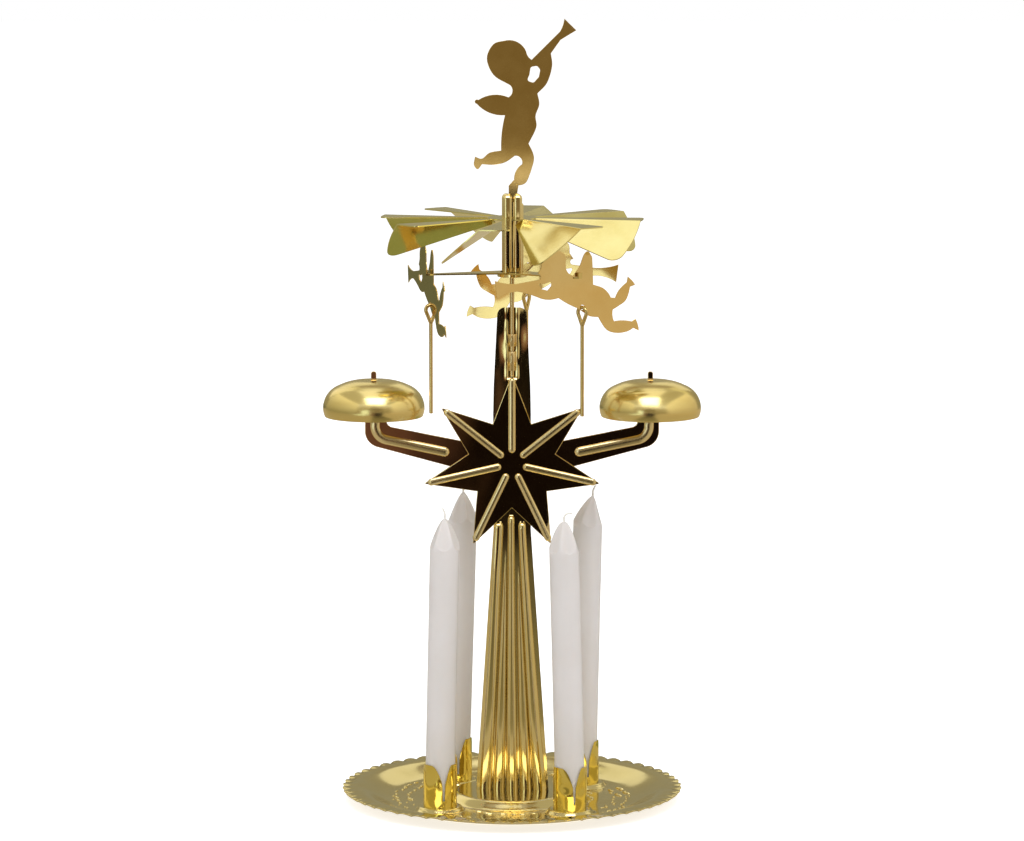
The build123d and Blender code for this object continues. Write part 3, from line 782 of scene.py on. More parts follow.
@dataclass(frozen=True)
class WaxFinish:
    """Soft white candle wax, or the cotton of a wick."""

    name: str
    light: Colour
    deep: Colour
    rough: float
    scatter: float
    cloud: float
    grain_scale: float
    grain: float
    smudge: float = 0.08
    wave_scale: float = 60.0
    wave: float = 0.15
    depths: Point = (0.006, 0.005, 0.0045)

    def material(self) -> bpy.types.Material:
        """Builds the finish's material: a cloudy colour that lets light in, with a fine relief.

        Returns:
            The material.
        """
        tone = {"Light": colour4(self.light), "Deep": colour4(self.deep), "Mottle": self.cloud,
                "Rough": self.rough, "Smudge": self.smudge}
        relief = {"Wave Scale": self.wave_scale, "Wave": self.wave, "Grain Scale": self.grain_scale,
                  "Grain": self.grain}
        return surface(self.name, tone, relief, {
            "Subsurface Weight": self.scatter, "Subsurface Radius": self.depths, "Subsurface Scale": 1.0})


class Finish(Enum):
    """The finishes of the object, one for each of its surfaces."""

    TRAY = BrassFinish("tray_satin", (0.74, 0.63, 0.33), (0.70, 0.58, 0.28), rough=0.12, smudge=0.05,
                       mottle=30.0, wave=1.1, wave_scale=40.0, grain=0.002)
    CUPS = BrassFinish("cup_polish", (0.86, 0.70, 0.20), (0.78, 0.60, 0.12), rough=0.04, smudge=0.03,
                       wave=1.8, wave_scale=70.0, grain=0.001)
    TOWER = BrassFinish("tower_polish", (0.84, 0.71, 0.39), (0.77, 0.63, 0.28), rough=0.08, smudge=0.03,
                        wave=1.0, wave_scale=55.0, grain=0.001, stretch=(1.0, 1.0, 0.3))
    NEEDLE = BrassFinish("needle_drawn", (0.78, 0.62, 0.34), (0.66, 0.50, 0.26), rough=0.14, mottle=120.0)
    STAR = BrassFinish("star_polish", (0.86, 0.70, 0.38), (0.78, 0.60, 0.30), rough=0.04, smudge=0.03,
                       grain=0.001)
    YOKE = BrassFinish("yoke_polish", (0.88, 0.68, 0.42), (0.80, 0.58, 0.34), rough=0.05, smudge=0.03,
                       wave=0.6, grain=0.001)
    RIBS = BrassFinish("rib_worn", (0.84, 0.72, 0.44), (0.76, 0.62, 0.34), rough=0.18, wave=0.3,
                       grain=0.001)
    BELLS = BrassFinish("bell_satin", (0.84, 0.70, 0.33), (0.74, 0.59, 0.24), rough=0.17, smudge=0.08,
                        mottle=35.0, wave=2.4, grain=0.003, stretch=(0.5, 0.5, 2.0))
    HUB = BrassFinish("hub_polish", (0.86, 0.72, 0.40), (0.76, 0.62, 0.28), rough=0.05, smudge=0.03,
                      wave=0.3, grain=0.001)
    FAN = BrassFinish("fan_satin", (0.84, 0.76, 0.38), (0.76, 0.66, 0.28), rough=0.12, wave=0.8,
                      wave_scale=18.0, grain=0.004)
    SPIDER = BrassFinish("spider_polish", (0.80, 0.64, 0.26), (0.70, 0.52, 0.18), rough=0.12)
    ANGELS = BrassFinish("angel_satin", (0.88, 0.68, 0.32), (0.82, 0.60, 0.25), rough=0.08, smudge=0.04,
                         wave=0.8, wave_scale=22.0, grain=0.002)
    STRIKERS = BrassFinish("striker_drawn", (0.74, 0.58, 0.28), (0.60, 0.44, 0.18), rough=0.14,
                           mottle=150.0, stretch=(1.0, 1.0, 0.2))
    TRUMPETER = BrassFinish("trumpeter_satin", (0.82, 0.62, 0.27), (0.70, 0.50, 0.18), rough=0.05,
                            smudge=0.03, wave=0.12, wave_scale=20.0, grain=0.001)
    WAX = WaxFinish("candle_wax", (0.72, 0.685, 0.675), (0.69, 0.655, 0.635), rough=0.42, scatter=0.35,
                    cloud=30.0, grain_scale=500.0, grain=0.02)
    WICK = WaxFinish("wick_cotton", (0.90, 0.87, 0.82), (0.80, 0.77, 0.70), rough=0.8, scatter=0.1,
                     cloud=900.0, grain_scale=2600.0, grain=0.3)

    def get(self) -> bpy.types.Material:
        """The finish's material, built on its first use."""
        return bpy.data.materials.get(self.value.name) or self.value.material()

    def on(self, *pieces: bpy.types.Object) -> None:
        """Puts the finish on every slot of the pieces.

        Args:
            pieces: The pieces to dress.
        """
        for piece in pieces:
            slots = piece.data.materials
            for i in range(len(slots)):
                slots[i] = self.get()
            if not slots:
                slots.append(self.get())


def set_round(piece: bpy.types.Object, count: int, axis: Axis, finish: Finish, height: float = 0.0,
              first: float = 0.0) -> bpy.types.Object:
    """Sets even copies of a piece round an axis with the turned_copies tree.

    Args:
        piece: The first copy.
        count: How many copies there are.
        axis: The axis they stand round.
        finish: What the copies are dressed in.
        height: The height of the centre.
        first: The angle of the first copy.

    Returns:
        The piece with all copies in its mesh.
    """
    return grow(piece, "turned_copies", {
        "Count": count, "Axis": axis.value, "Centre": (0.0, 0.0, height * MM), "Step": FULL_TURN / count,
        "First": math.radians(first), "Material": finish.get()})


# ---- the object's sub-assemblies ----


@dataclass
class CandleTray:
    """The stamped tray with its scalloped rim, platform, four seats and pressed marks."""

    radius: float = 72.5
    sheet: float = 0.5
    lobes: int = 60
    lobe_depth: float = 0.9
    lobe_ripple: float = 0.75
    rim: float = 5.5
    floor: float = 53.0
    flange: float = 64.5
    platform: float = 27.0
    platform_rise: float = 3.3
    platform_slope: float = 2.0
    seat_circle: float = 39.0
    seat_radius: float = 9.2
    seat_slope: float = 1.2
    seat_rise: float = 1.7
    seat_angles: tuple[float, ...] = (218.8, 308.8, 38.8, 128.8)
    per_lobe: int = 6
    mark_rings: tuple[tuple[int, float, int], ...] = ((52, 33.5, 3), (60, 44.5, 5), (84, 50.0, 8))
    mark_size: Point = (0.75, 2.2, 0.6)
    mark_range: Point2 = (0.5, 1.15)
    mark_tilt: float = 0.5
    mark_jitter: float = 1.3
    mark_sink: float = 0.02
    mark_low: float = 0.1
    mark_clear: float = 1.6

    def height(self, r: float, x: float, y: float) -> float:
        """The height of the tray's underside at a point.

        Args:
            r: Distance from the tray's middle.
            x: Place along X.
            y: Place along Y.

        Returns:
            The height above the table.
        """
        z = self.platform_rise * (1 - ease(r, self.platform - 3.5, self.platform + self.platform_slope))
        z += (self.rim - self.sheet) * ease(r, self.floor - 2.0, self.flange + 2.0)
        for angle in self.seat_angles:
            sx, sy, _ = polar(self.seat_circle, angle)
            away = math.hypot(x - sx, y - sy)
            foot = self.seat_radius + self.seat_slope
            if away < foot + 1:
                z += self.seat_rise * (1 - ease(away, self.seat_radius - 0.3, foot))
        return z

    def stations(self) -> list[float]:
        """The distances from the middle at which the sheet has points."""
        return [0.0, 8.0, 16.0, 21.0, 23.0, *spread(23.6, 48.9, 45), 50.0, 51.0, 52.2, 53.5, 55.0, 57.0,
                59.0, 61.0, 63.0, 64.5, 66.0, 67.2, 68.4, 69.6, 70.6]

    def make_sheet(self) -> bpy.types.Object:
        """Makes the stamped sheet, top and underside in one closed skin.

        Returns:
            The sheet.
        """
        count = self.lobes * self.per_lobe
        stations = self.stations()
        columns = []
        for i in range(count):
            angle = 360 * i / count
            u = (i % self.per_lobe) / self.per_lobe
            bulge = 4 * u * (1 - u)
            edge = self.radius - self.lobe_depth * (1 - bulge)
            top, foot = [], []
            for r in [*stations, edge - 0.35, edge]:
                x, y, _ = polar(r, angle)
                z = self.height(r, x, y)
                z += self.lobe_ripple * (bulge - 0.6) * ease(r, 67.5, 71.5)
                drop = 0.12 if r == edge else 0.0
                top.append((x, y, z + self.sheet - drop))
                foot.append((x, y, max(0.0, z + drop)))
            columns.append(top + foot[::-1])
        return Skin().grid(columns, ring=True, loop=True).piece("tray_sheet", 50.0)

    def make_marks(self) -> bpy.types.Object:
        """Makes the short pressed dashes that stand on the tray's floor.

        Returns:
            The marks of all rings as one piece.
        """
        width, length, rise = self.mark_size
        least, most = self.mark_range
        rings = []
        for i, (count, radius, seed) in enumerate(self.mark_rings):
            start = bpy.data.objects.new(f"marks_{i}", bpy.data.meshes.new(f"marks_{i}"))
            bpy.context.collection.objects.link(start)
            rings.append(grow(start, "ring_marks", {
                "Count": count, "Radius": radius * MM, "Height": (self.sheet - self.mark_sink) * MM,
                "Jitter": self.mark_jitter * MM, "Length": length * MM, "Width": width * MM,
                "Rise": rise * MM, "Tilt": self.mark_tilt, "Least": least, "Most": most,
                "Seed": seed, "Material": Finish.TRAY.get()}))
        marks = joined("tray_marks", rings)
        bm = bmesh.new()
        bm.from_mesh(marks.data)
        seats = [Vector(polar(self.seat_circle, a)) * MM for a in self.seat_angles]
        clear = (self.seat_radius + self.seat_slope + self.mark_clear) * MM
        waiting = [v for v in bm.verts if any((v.co.xy - s.xy).length < clear for s in seats)]
        gone = set(waiting)
        while waiting:
            for edge in waiting.pop().link_edges:
                for vert in edge.verts:
                    if vert not in gone:
                        gone.add(vert)
                        waiting.append(vert)
        bmesh.ops.delete(bm, geom=list(gone), context="VERTS")
        for vert in bm.verts:
            vert.co.z = max(vert.co.z, self.mark_low * MM)
        bm.to_mesh(marks.data)
        bm.free()
        return marks

    def build(self) -> None:
        """Builds and dresses the tray."""
        sheet, marks = self.make_sheet(), self.make_marks()
        Finish.TRAY.on(sheet, marks)
        seat(sheet, "base", "tray", "tray")
        seat(marks, "base", "tray")


@dataclass
class CandlePlaces:
    """The four candle cups with their candles and wicks."""

    names: tuple[str, ...] = ("front_left", "front_right", "back_right", "back_left")
    circle: float = 39.0
    angles: tuple[float, ...] = (218.8, 308.8, 38.8, 128.8)
    gap_turns: tuple[float, ...] = (14.0, 15.0, 20.0, 10.0)
    foot: float = 2.2
    bore: float = 6.6
    wall: float = 0.5
    height: float = 18.4
    petals: int = 3
    gap: float = 0.8
    gap_foot: float = 3.2
    petal_steep: Point2 = (0.26, 1.6)
    petal_swept: Point2 = (0.42, 2.4)
    shoulder: float = 0.42
    lug: Point = (0.25, 1.5, 1.0)
    candle_radius: float = 6.25
    candle_heights: tuple[float, ...] = (112.0, 111.6, 114.4, 115.0)
    leans: tuple[float, ...] = (1.2, -1.5, 1.2, 1.7)
    pivot: float = 9.0
    tip: float = 10.4
    facets: int = 5
    facet_turns: tuple[float, ...] = (14.0, 40.0, 30.0, 0.0)
    facet_dip: float = 2.4
    facet_size: float = 1.13
    chamfer: float = 0.4
    tip_below: float = 3.4
    tip_bow: float = 1.6
    tip_powers: tuple[float, ...] = (0.62, 0.50, 0.74, 0.70)
    tip_shifts: tuple[float, ...] = (-0.2, 0.3, 1.9, 0.0)
    wick_radius: float = 0.5
    wick_thinning: float = 0.35
    wick_sunk: float = 1.2
    wick_straight: float = 2.2
    wick_headings: tuple[float, ...] = (150.0, 10.0, 30.0, 170.0)
    wick_bends: tuple[Point2, ...] = ((4.5, 44.0), (2.3, 125.0), (4.0, 52.0), (4.5, 44.0))

    def petal_top(self, angle: float) -> float:
        """The height of the cup's edge at an angle from a gap, swept to one side.

        Args:
            angle: The angle from the middle of a gap.

        Returns:
            The height above the cup's foot.
        """
        span = 360 / self.petals
        u = (angle % span) / span
        reach = math.degrees(self.gap / 2 / self.bore) / span
        if u < reach or u > 1 - reach:
            return self.gap_foot
        t = (u - reach) / (1 - 2 * reach)
        rise = min(1 - (1 - min(1.0, along / reach)) ** power
                   for along, (reach, power) in ((t, self.petal_steep), (1 - t, self.petal_swept)))
        return self.gap_foot + (self.height - self.gap_foot) * (self.shoulder + (1 - self.shoulder) * rise)

    def make_cup(self, i: int) -> bpy.types.Object:
        """Makes one cup: a split ring of swept petals on a floor, with its two lugs.

        Args:
            i: Which one, counted from 0.

        Returns:
            The cup.
        """
        outer, inner = self.bore + self.wall, self.bore
        count, steps = 216, 12
        columns = []
        for k in range(count):
            angle = 270 + self.gap_turns[i] + 360 * k / count
            top = self.petal_top(360 * k / count)
            shares = spread(0, 1, steps)
            out = [polar(outer, angle, top * s) for s in shares[:-1]]
            edge = [polar(outer - 0.1, angle, top), polar(inner + 0.1, angle, top)]
            back = [polar(inner, angle, self.wall + (top - self.wall) * s) for s in shares[::-1][1:]]
            columns.append([(0.0, 0.0, 0.0), *out, *edge, *back, (0.0, 0.0, self.wall)])
        skin = Skin().grid(columns, ring=True, loop=True)
        for side in (-1, 1):
            x = side * inner / 2
            half, wide, deep = self.lug
            skin.box((x - half, -wide, -deep), (x + half, wide, 0.2))
            skin.box((min(x, x + side * 2), -wide, -deep), (max(x, x + side * 2), wide, -deep / 2))
        cup = skin.piece("cup_" + self.names[i] + "_petals", 40.0)
        return move(cup, shift(*polar(self.circle, self.angles[i], self.foot)))

    def stand(self, i: int) -> Matrix:
        """The move that leans a candle in its cup.

        Args:
            i: Which one, counted from 0.

        Returns:
            The move from the cup's foot to the candle's place.
        """
        lift = self.candle_radius * math.sin(math.radians(abs(self.leans[i])))
        x, y, _ = polar(self.circle, self.angles[i])
        base = self.foot + self.wall + lift + self.pivot
        return shift(x, y, base) @ turn(self.leans[i], "Y") @ shift(0, 0, -self.pivot)

    def make_candle(self, i: int) -> bpy.types.Object:
        """Makes one candle, round below and cut to a faceted point.

        Args:
            i: Which one, counted from 0.

        Returns:
            The candle.
        """
        tall, radius = self.candle_heights[i], self.candle_radius
        count, span = 80, 360 / self.facets
        columns = []
        for k in range(count):
            angle = 360 * k / count
            off = ((angle - self.facet_turns[i]) % span) - span / 2
            start = tall - self.chamfer - self.facet_dip * (1 - (2 * off / span) ** 2)
            column = [(0.0, 0.0, 0.0), polar(radius - self.chamfer, angle, 0.0),
                      polar(radius, angle, self.chamfer)]
            column += [polar(radius, angle, z) for z in spread(6.0, tall - self.tip_below, 14)]
            for t in (0.0, 0.05, 0.12, 0.25, 0.4, 0.55, 0.7, 0.82, 0.91, 0.97):
                limit = radius * (1 - t) ** self.tip_powers[i]
                flat = limit * math.cos(math.radians(span / 2)) / math.cos(math.radians(off))
                flat *= self.facet_size
                x, y, z = polar(min(radius, limit, flat) if t > 0 else radius, angle,
                                start + (tall + self.tip - start) * t)
                column.append((x + self.tip_shifts[i] * t ** self.tip_bow, y, z))
            column.append((self.tip_shifts[i], 0.0, tall + self.tip))
            columns.append(column)
        candle = Skin().grid(columns, ring=True, loop=False)
        return move(candle.piece("candle_" + self.names[i] + "_wax", 28.0), self.stand(i))

    def make_wick(self, i: int) -> bpy.types.Object:
        """Makes one wick, bent over at its end.

        Args:
            i: Which one, counted from 0.

        Returns:
            The wick.
        """
        foot = self.candle_heights[i] + self.tip - self.wick_sunk
        path = [(0.0, 0.0, foot + z) for z in spread(0.0, self.wick_straight, 4)]
        bend, sweep = self.wick_bends[i]
        for a in spread(sweep / 8, sweep, 8):
            t = math.radians(a)
            path.append((bend * (1 - math.cos(t)), 0.0, foot + self.wick_straight + bend * math.sin(t)))
        wick = wire("wick_" + self.names[i] + "_cotton", path, self.wick_radius, 10,
                    taper=lambda t: 1.0 - self.wick_thinning * t ** 3)
        return move(wick, self.stand(i) @ shift(self.tip_shifts[i], 0, 0) @ turn(self.wick_headings[i]))

    def build(self) -> None:
        """Builds and dresses the cups, candles and wicks."""
        for i, name in enumerate(self.names):
            cup, candle, wick = self.make_cup(i), self.make_candle(i), self.make_wick(i)
            Finish.CUPS.on(cup)
            Finish.WAX.on(candle)
            Finish.WICK.on(wick)
            seat(cup, "base", "cups", "cup_" + name)
            seat(candle, "candle_" + name, "wax", "candle_" + name)
            seat(wick, "candle_" + name, "wick", "wick_" + name)


@dataclass(frozen=True)
class Flute:
    """One raised flute of the tower; its middle and half width are shares of the tower's width."""

    neck: Point2
    foot: Point2
    top: float
    swell: float = 2.4
    share: float = 1.0

    def at(self, z: float, t: float) -> tuple[float, float, float]:
        """Its middle, half width and share of the depth at a height and a share t of the way up.

        Args:
            z: The height.
            t: The share of the way up the fluted part.

        Returns:
            The middle, the half width and the share of the depth.
        """
        s = min(1.0, max(0.0, (self.top - z) / self.swell))
        size = math.sqrt(1 - (1 - s) ** 2)
        middle, half = (a + (b - a) * t for a, b in zip(self.foot, self.neck))
        return middle, max(0.012, half * (size if self.share < 1 else 0.6 + 0.4 * size)), self.share * size


@dataclass
class FlutedTower:
    """The tower: a fluted foot running up into a plate that holds the needle."""

    sheet: float = 0.6
    foot: float = 3.8
    base_width: float = 31.2
    neck_width: float = 16.0
    top_width: float = 12.2
    flutes: tuple[Flute, ...] = (
        Flute((0.137, 0.130), (0.115, 0.105), 119.6),
        Flute((0.345, 0.070), (0.315, 0.085), 104.0, 60.0, 0.75),
        Flute((0.478, 0.088), (0.500, 0.085), 122.4),
        Flute((0.640, 0.060), (0.690, 0.085), 98.0, 55.0, 0.75),
        Flute((0.768, 0.098), (0.878, 0.095), 119.6),
    )
    depth_base: float = 2.5
    depth_neck: float = 1.9
    flute_top: float = 116.5
    flute_steps: int = 16
    flute_power: float = 0.85
    flute_fade: tuple[float, float, float] = (0.28, 90.0, 117.0)
    floor_fade: Point2 = (60.0, 117.0)
    lip: tuple[float, float, float] = (2.35, 0.6, 0.2)
    waist: float = 173.0
    top: float = 211.4
    corner: float = 3.0
    channel: float = 1.25
    channel_foot: float = 181.4
    press_half: float = 3.6
    flute_end: float = 124.0
    clip_outer: float = 1.62
    clip_inner: float = 1.1
    clip_foot: float = 2.15
    clips: tuple[tuple[float, float], ...] = ((184.6, 192.8), (195.0, 200.2))
    needle_radius: float = 0.95
    needle_foot: float = 182.0
    needle_top: float = 254.3

    def width(self, z: float) -> float:
        """The tower's width at a height.

        Args:
            z: The height.

        Returns:
            The width across.
        """
        if z <= self.flute_top:
            t = (z - self.foot) / (self.flute_top - self.foot)
            return self.base_width + (self.neck_width - self.base_width) * t
        if z <= self.waist:
            return self.neck_width
        t = (z - self.waist) / (self.top - self.waist)
        wide = self.neck_width + (self.top_width - self.neck_width) * t
        below = self.top - z
        if below < self.corner:
            wide -= 2 * (self.corner - math.sqrt(max(0.0, self.corner ** 2 - (self.corner - below) ** 2)))
        return wide

    def fluted_row(self, z: float) -> list[Point2]:
        """The share across and the Y of the sheet's middle, from left to right, at a height.

        Args:
            z: The height.

        Returns:
            The row's points.
        """
        t = min(1.0, (z - self.foot) / (self.flute_top - self.foot))
        depth = self.depth_base + (self.depth_neck - self.depth_base) * t
        loss, low, high = self.flute_fade
        depth *= 1 - loss * ease(z, low, high)
        floor = depth / 2 * (1 - ease(z, *self.floor_fade))
        row: list[Point2] = []
        for flute in self.flutes:
            middle, half, size = flute.at(z, t)
            if row:
                gap = middle - half - row[-1][0]
                row += [(row[-1][0] + gap * k, floor) for k in (0.34, 0.66)]
            for k in range(self.flute_steps + 1):
                a = math.pi * k / self.flute_steps
                rise = depth * size * math.sin(a) ** self.flute_power
                row.append((middle - half * math.cos(a), floor - rise))
        last = row[-1][0]
        return row + [(last + (1 - last) * k, floor) for k in (0.25, 0.5, 0.75, 1.0)]

    def plate_row(self, z: float, count: int) -> list[Point2]:
        """The same for the flat plate above the flutes, pressed into a channel for the needle.

        Args:
            z: The height.
            count: How many points the row has.

        Returns:
            The row's points.
        """
        wide = self.width(z)
        close = spread(-self.press_half, self.press_half, 51)
        side = (count - len(close)) // 2
        edge = wide / 2
        across = [*(-edge + (edge - self.press_half) * k / side for k in range(side)), *close,
                  *(self.press_half + (edge - self.press_half) * (k + 1) / side for k in range(side))]
        press = ease(z, self.channel_foot - 1.5, self.channel_foot + 0.5)
        lip_x, lip_half, lip_rise = self.lip
        row = []
        for x in across:
            inside = math.sqrt(max(0.0, 1 - (x / (self.channel + 0.3)) ** 2))
            lip = math.exp(-((abs(x) - lip_x) / lip_half) ** 2)
            buckle = math.sin(0.55 * x + 0.28 * z + 1.0) + 0.8 * math.sin(-0.8 * x + 0.17 * z + 2.0)
            lip *= lip_rise * (0.25 + 0.75 * abs(math.sin(0.33 * z + 0.6)))
            y = press * (self.channel * inside - lip) + 0.11 * buckle * ease(z, 180.0, 192.0)
            row.append((x / wide + 0.5, y))
        return row

    def make_sheet(self) -> bpy.types.Object:
        """Makes the tower's sheet as one closed skin with its tabs through the tray.

        Returns:
            The sheet with its tabs.
        """
        shoulder = self.top - self.corner
        heights = [*spread(self.foot, 112.0, 34), *spread(113.0, self.flute_end, 28),
                   *spread(130.0, 178.0, 5), *spread(179.6, 182.4, 6), *spread(183.4, 208.0, 26),
                   *(shoulder + self.corner * math.sin(math.radians(a)) for a in range(0, 91, 15))]
        count = len(self.fluted_row(self.foot))
        rows = []
        for z in heights:
            wide = self.width(z)
            row = self.fluted_row(z) if z <= self.flute_end else self.plate_row(z, count)
            front = [((u - 0.5) * wide, y - self.sheet / 2, z) for u, y in row]
            back = [((u - 0.5) * wide, y + self.sheet / 2, z) for u, y in row]
            rows.append(front + back[::-1])
        skin = Skin().grid(rows, loop=True)
        half = len(rows[0]) // 2
        for row in (rows[0], rows[-1]):
            skin.grid([row[:half], row[half:][::-1]])
        sheet = skin.piece("tower_sheet", 38.0)
        tabs = Skin()
        for side in (-1, 1):
            outer = side * (self.base_width / 2 - 1.0)
            inner = outer - side * 6.0
            low, high = min(outer, inner), max(outer, inner)
            tabs.box((low, -0.3, 2.7), (high, 0.3, self.foot + 0.3)).box((low, -0.3, 2.7), (high, 3.0, 3.3))
        return joined("tower_fluted", [sheet, tabs.piece("tower_tabs")])

    def make_clips(self) -> bpy.types.Object:
        """Makes the two clips that hold the needle in its channel, and the tongue under it.

        Returns:
            The clips and the tongue as one piece.
        """
        skin = Skin()
        outer, inner, foot = self.clip_outer, self.clip_inner, self.clip_foot
        for low, high in self.clips:
            rows = []
            for z, grow_by in ((low, -0.12), (low + 0.15, 0.0), (high - 0.15, 0.0), (high, -0.12)):
                out = [(-foot, -0.36 - grow_by, z), (-1.85, -0.42 - grow_by, z)]
                out += [(-(outer + grow_by) * math.cos(a), -0.3 - (outer + grow_by) * math.sin(a), z)
                        for a in spread(math.radians(18), math.radians(162), 15)]
                out += [(1.85, -0.42 - grow_by, z), (foot, -0.36 - grow_by, z)]
                back = [(foot, -0.22, z), (1.5, -0.22, z)]
                back += [(-inner * math.cos(a), 0.1 - (inner + 0.35) * math.sin(a), z)
                         for a in spread(math.radians(160), math.radians(20), 11)]
                back += [(-1.5, -0.22, z), (-foot, -0.22, z)]
                rows.append(out + back)
            skin.grid(rows, loop=True).cap(rows[0]).cap(rows[-1])
        clips = skin.piece("tower_clips", 40.0)
        tongue = Skin()
        section = [(-0.3, 182.0), (-1.0, 181.95), (-1.6, 181.6), (-1.9, 180.9),
                   (-1.5, 180.7), (-1.25, 181.2), (-0.9, 181.45), (-0.3, 181.5)]
        rows = [[(x, y, z) for y, z in section] for x in spread(-2.1, 2.1, 5)]
        tongue.grid(rows, loop=True).cap(rows[0]).cap(rows[-1])
        return joined("tower_clasps", [clips, tongue.piece("tower_tongue")])

    def build(self) -> None:
        """Builds and dresses the tower and its needle."""
        sheet, clips = self.make_sheet(), self.make_clips()
        low, high, r = self.needle_foot, self.needle_top, self.needle_radius
        needle = lathe("needle_wire", [
            (0.0, low), (r - 0.2, low), (r, low + 0.2), (r, 215.0), (r, 235.0), (r, high - 3.0),
            (0.5, high - 1.3), (0.2, high - 0.1), (0.0, high)], 28)
        Finish.TOWER.on(sheet)
        Finish.NEEDLE.on(needle, clips)
        seat(sheet, "base", "tower", "tower")
        seat(clips, "base", "tower")
        seat(needle, "base", "needle", "needle")


@dataclass
class StarAndYoke:
    """The seven-pointed star, the yoke behind it and the two bells on its pins."""

    sheet: float = 0.8
    edge: float = 0.21
    back: float = -0.3
    points: int = 7
    radius: float = 38.4
    notch: float = 18.9
    height: float = 144.9
    stud_radius: float = 2.6
    shaft_radius: float = 1.5
    rib_start: float = 4.7
    rib_end: float = 36.6
    rib_width: float = 3.0
    rib_rise: float = 0.85
    yoke_inner: float = 53.1
    yoke_outer: float = 62.3
    yoke_top: float = 150.4
    yoke_low: float = 136.6
    yoke_slopes: Point2 = (11.2, 15.1)
    yoke_corners: Point2 = (2.8, 7.0)
    pin_foot: float = 179.9
    pin_tall: float = 4.4
    pin_half: float = 1.15
    neck_half: float = 2.5
    yoke_rib: Point = (26.6, 144.0, 11.8)
    yoke_rib_bend: float = 6.0
    yoke_rib_end: float = 7.9
    bell_x: float = 58.5
    bell_radius: float = 21.5
    bell_height: float = 15.2
    bell_rim: float = 165.3
    bell_wall: float = 0.5
    bell_runs: tuple[tuple[Point2, ...], ...] = (
        ((0.965, 0.0), (1.0, 0.19), (0.978, 0.42)),
        ((0.978, 0.42), (0.885, 0.655), (0.705, 0.83)),
        ((0.705, 0.83), (0.510, 0.935), (0.300, 0.985)),
    )

    def make_star(self) -> bpy.types.Object:
        """Makes the star's plate with its stud, standing in front of the yoke.

        Returns:
            The plate with its stud.
        """
        corners = []
        for i in range(2 * self.points):
            r = self.radius if i % 2 == 0 else self.notch
            x, y, _ = polar(r, 90 + i * 180 / self.points)
            corners.append((x, y, 0.35 if i % 2 == 0 else 0.0))
        plate = stamping("star_blank", [rounded(corners, 3)], self.sheet, self.edge)
        move(plate, shift(0, self.back - self.sheet * 1.5, self.height))
        head, thin = self.stud_radius, self.shaft_radius
        stud = lathe("star_stud", [(0.0, -0.35), (head, -0.35), (head, -1.0), (head - 0.3, -1.15),
                                   (0.0, -1.15)], 32)
        shaft = lathe("star_shaft", [(0.0, -0.36), (thin, -0.36), (thin, 1.2), (0.0, 1.2)], 24)
        for part in (stud, shaft):
            move(part, shift(0, 0, self.height) @ turn(90, "X"))
        return joined("star_plate", [plate, stud, shaft])

    def make_star_ribs(self) -> bpy.types.Object:
        """Makes the star's ribs: one pressed rib set round the middle by a tree.

        Returns:
            All ribs as one piece.
        """
        skin = Skin()
        face = self.back - 2 * self.sheet
        pressed_rib(skin, [(0.0, self.height + self.rib_start), (0.0, self.height + self.rib_end)],
                    self.rib_width, self.rib_rise, face)
        rib = skin.piece("star_ribs", 40.0)
        return set_round(rib, self.points, Axis.Y, Finish.RIBS, self.height)

    def yoke_outline(self) -> list[Point2]:
        """The outline of the whole yoke, both arms and pins.

        Returns:
            The outline's points.
        """
        neck, pin, foot, tip = self.neck_half, self.pin_half, self.pin_foot, self.pin_foot + self.pin_tall
        upper, lower = (math.tan(math.radians(a)) for a in self.yoke_slopes)
        top, low = self.yoke_top + self.yoke_inner * upper, self.yoke_low + self.yoke_outer * lower
        half = [
            (self.yoke_outer, low, self.yoke_corners[1]), (self.yoke_outer, foot - 9.0, 0.0),
            (self.bell_x + neck, foot, 0.0), (self.bell_x + pin, foot, 0.0), (self.bell_x + pin, tip, 1.0),
            (self.bell_x - pin, tip, 1.0), (self.bell_x - pin, foot, 0.0), (self.bell_x - neck, foot, 0.0),
            (self.yoke_inner, foot - 9.0, 0.0), (self.yoke_inner, top, self.yoke_corners[0]),
        ]
        left = [(-x, z, r) for x, z, r in reversed(half)]
        return rounded([(0.0, self.yoke_low, 0.0), *half, (0.0, self.yoke_top, 0.0), *left], 8)

    def make_yoke(self) -> tuple[bpy.types.Object, bpy.types.Object]:
        """Makes the yoke's plate and its two pressed ribs.

        Returns:
            The plate, and its ribs as one piece.
        """
        plate = stamping("yoke_plate", [self.yoke_outline()], self.sheet, self.edge)
        move(plate, shift(0, self.back - self.sheet / 2, 0))
        start, level, slope = self.yoke_rib
        rise, corner_x = math.tan(math.radians(slope)), self.bell_x - 0.5
        corner_z = level + corner_x * rise
        path = rounded([(start, level + start * rise, 0.0), (corner_x, corner_z, self.yoke_rib_bend),
                        (corner_x, corner_z + self.yoke_rib_end, 0.0)], 12)
        skin = Skin()
        for side in (-1, 1):
            pressed_rib(skin, [(side * x, z) for x, z in path], 4.0, 1.0, self.back - self.sheet)
        return plate, skin.piece("yoke_ribs", 40.0)

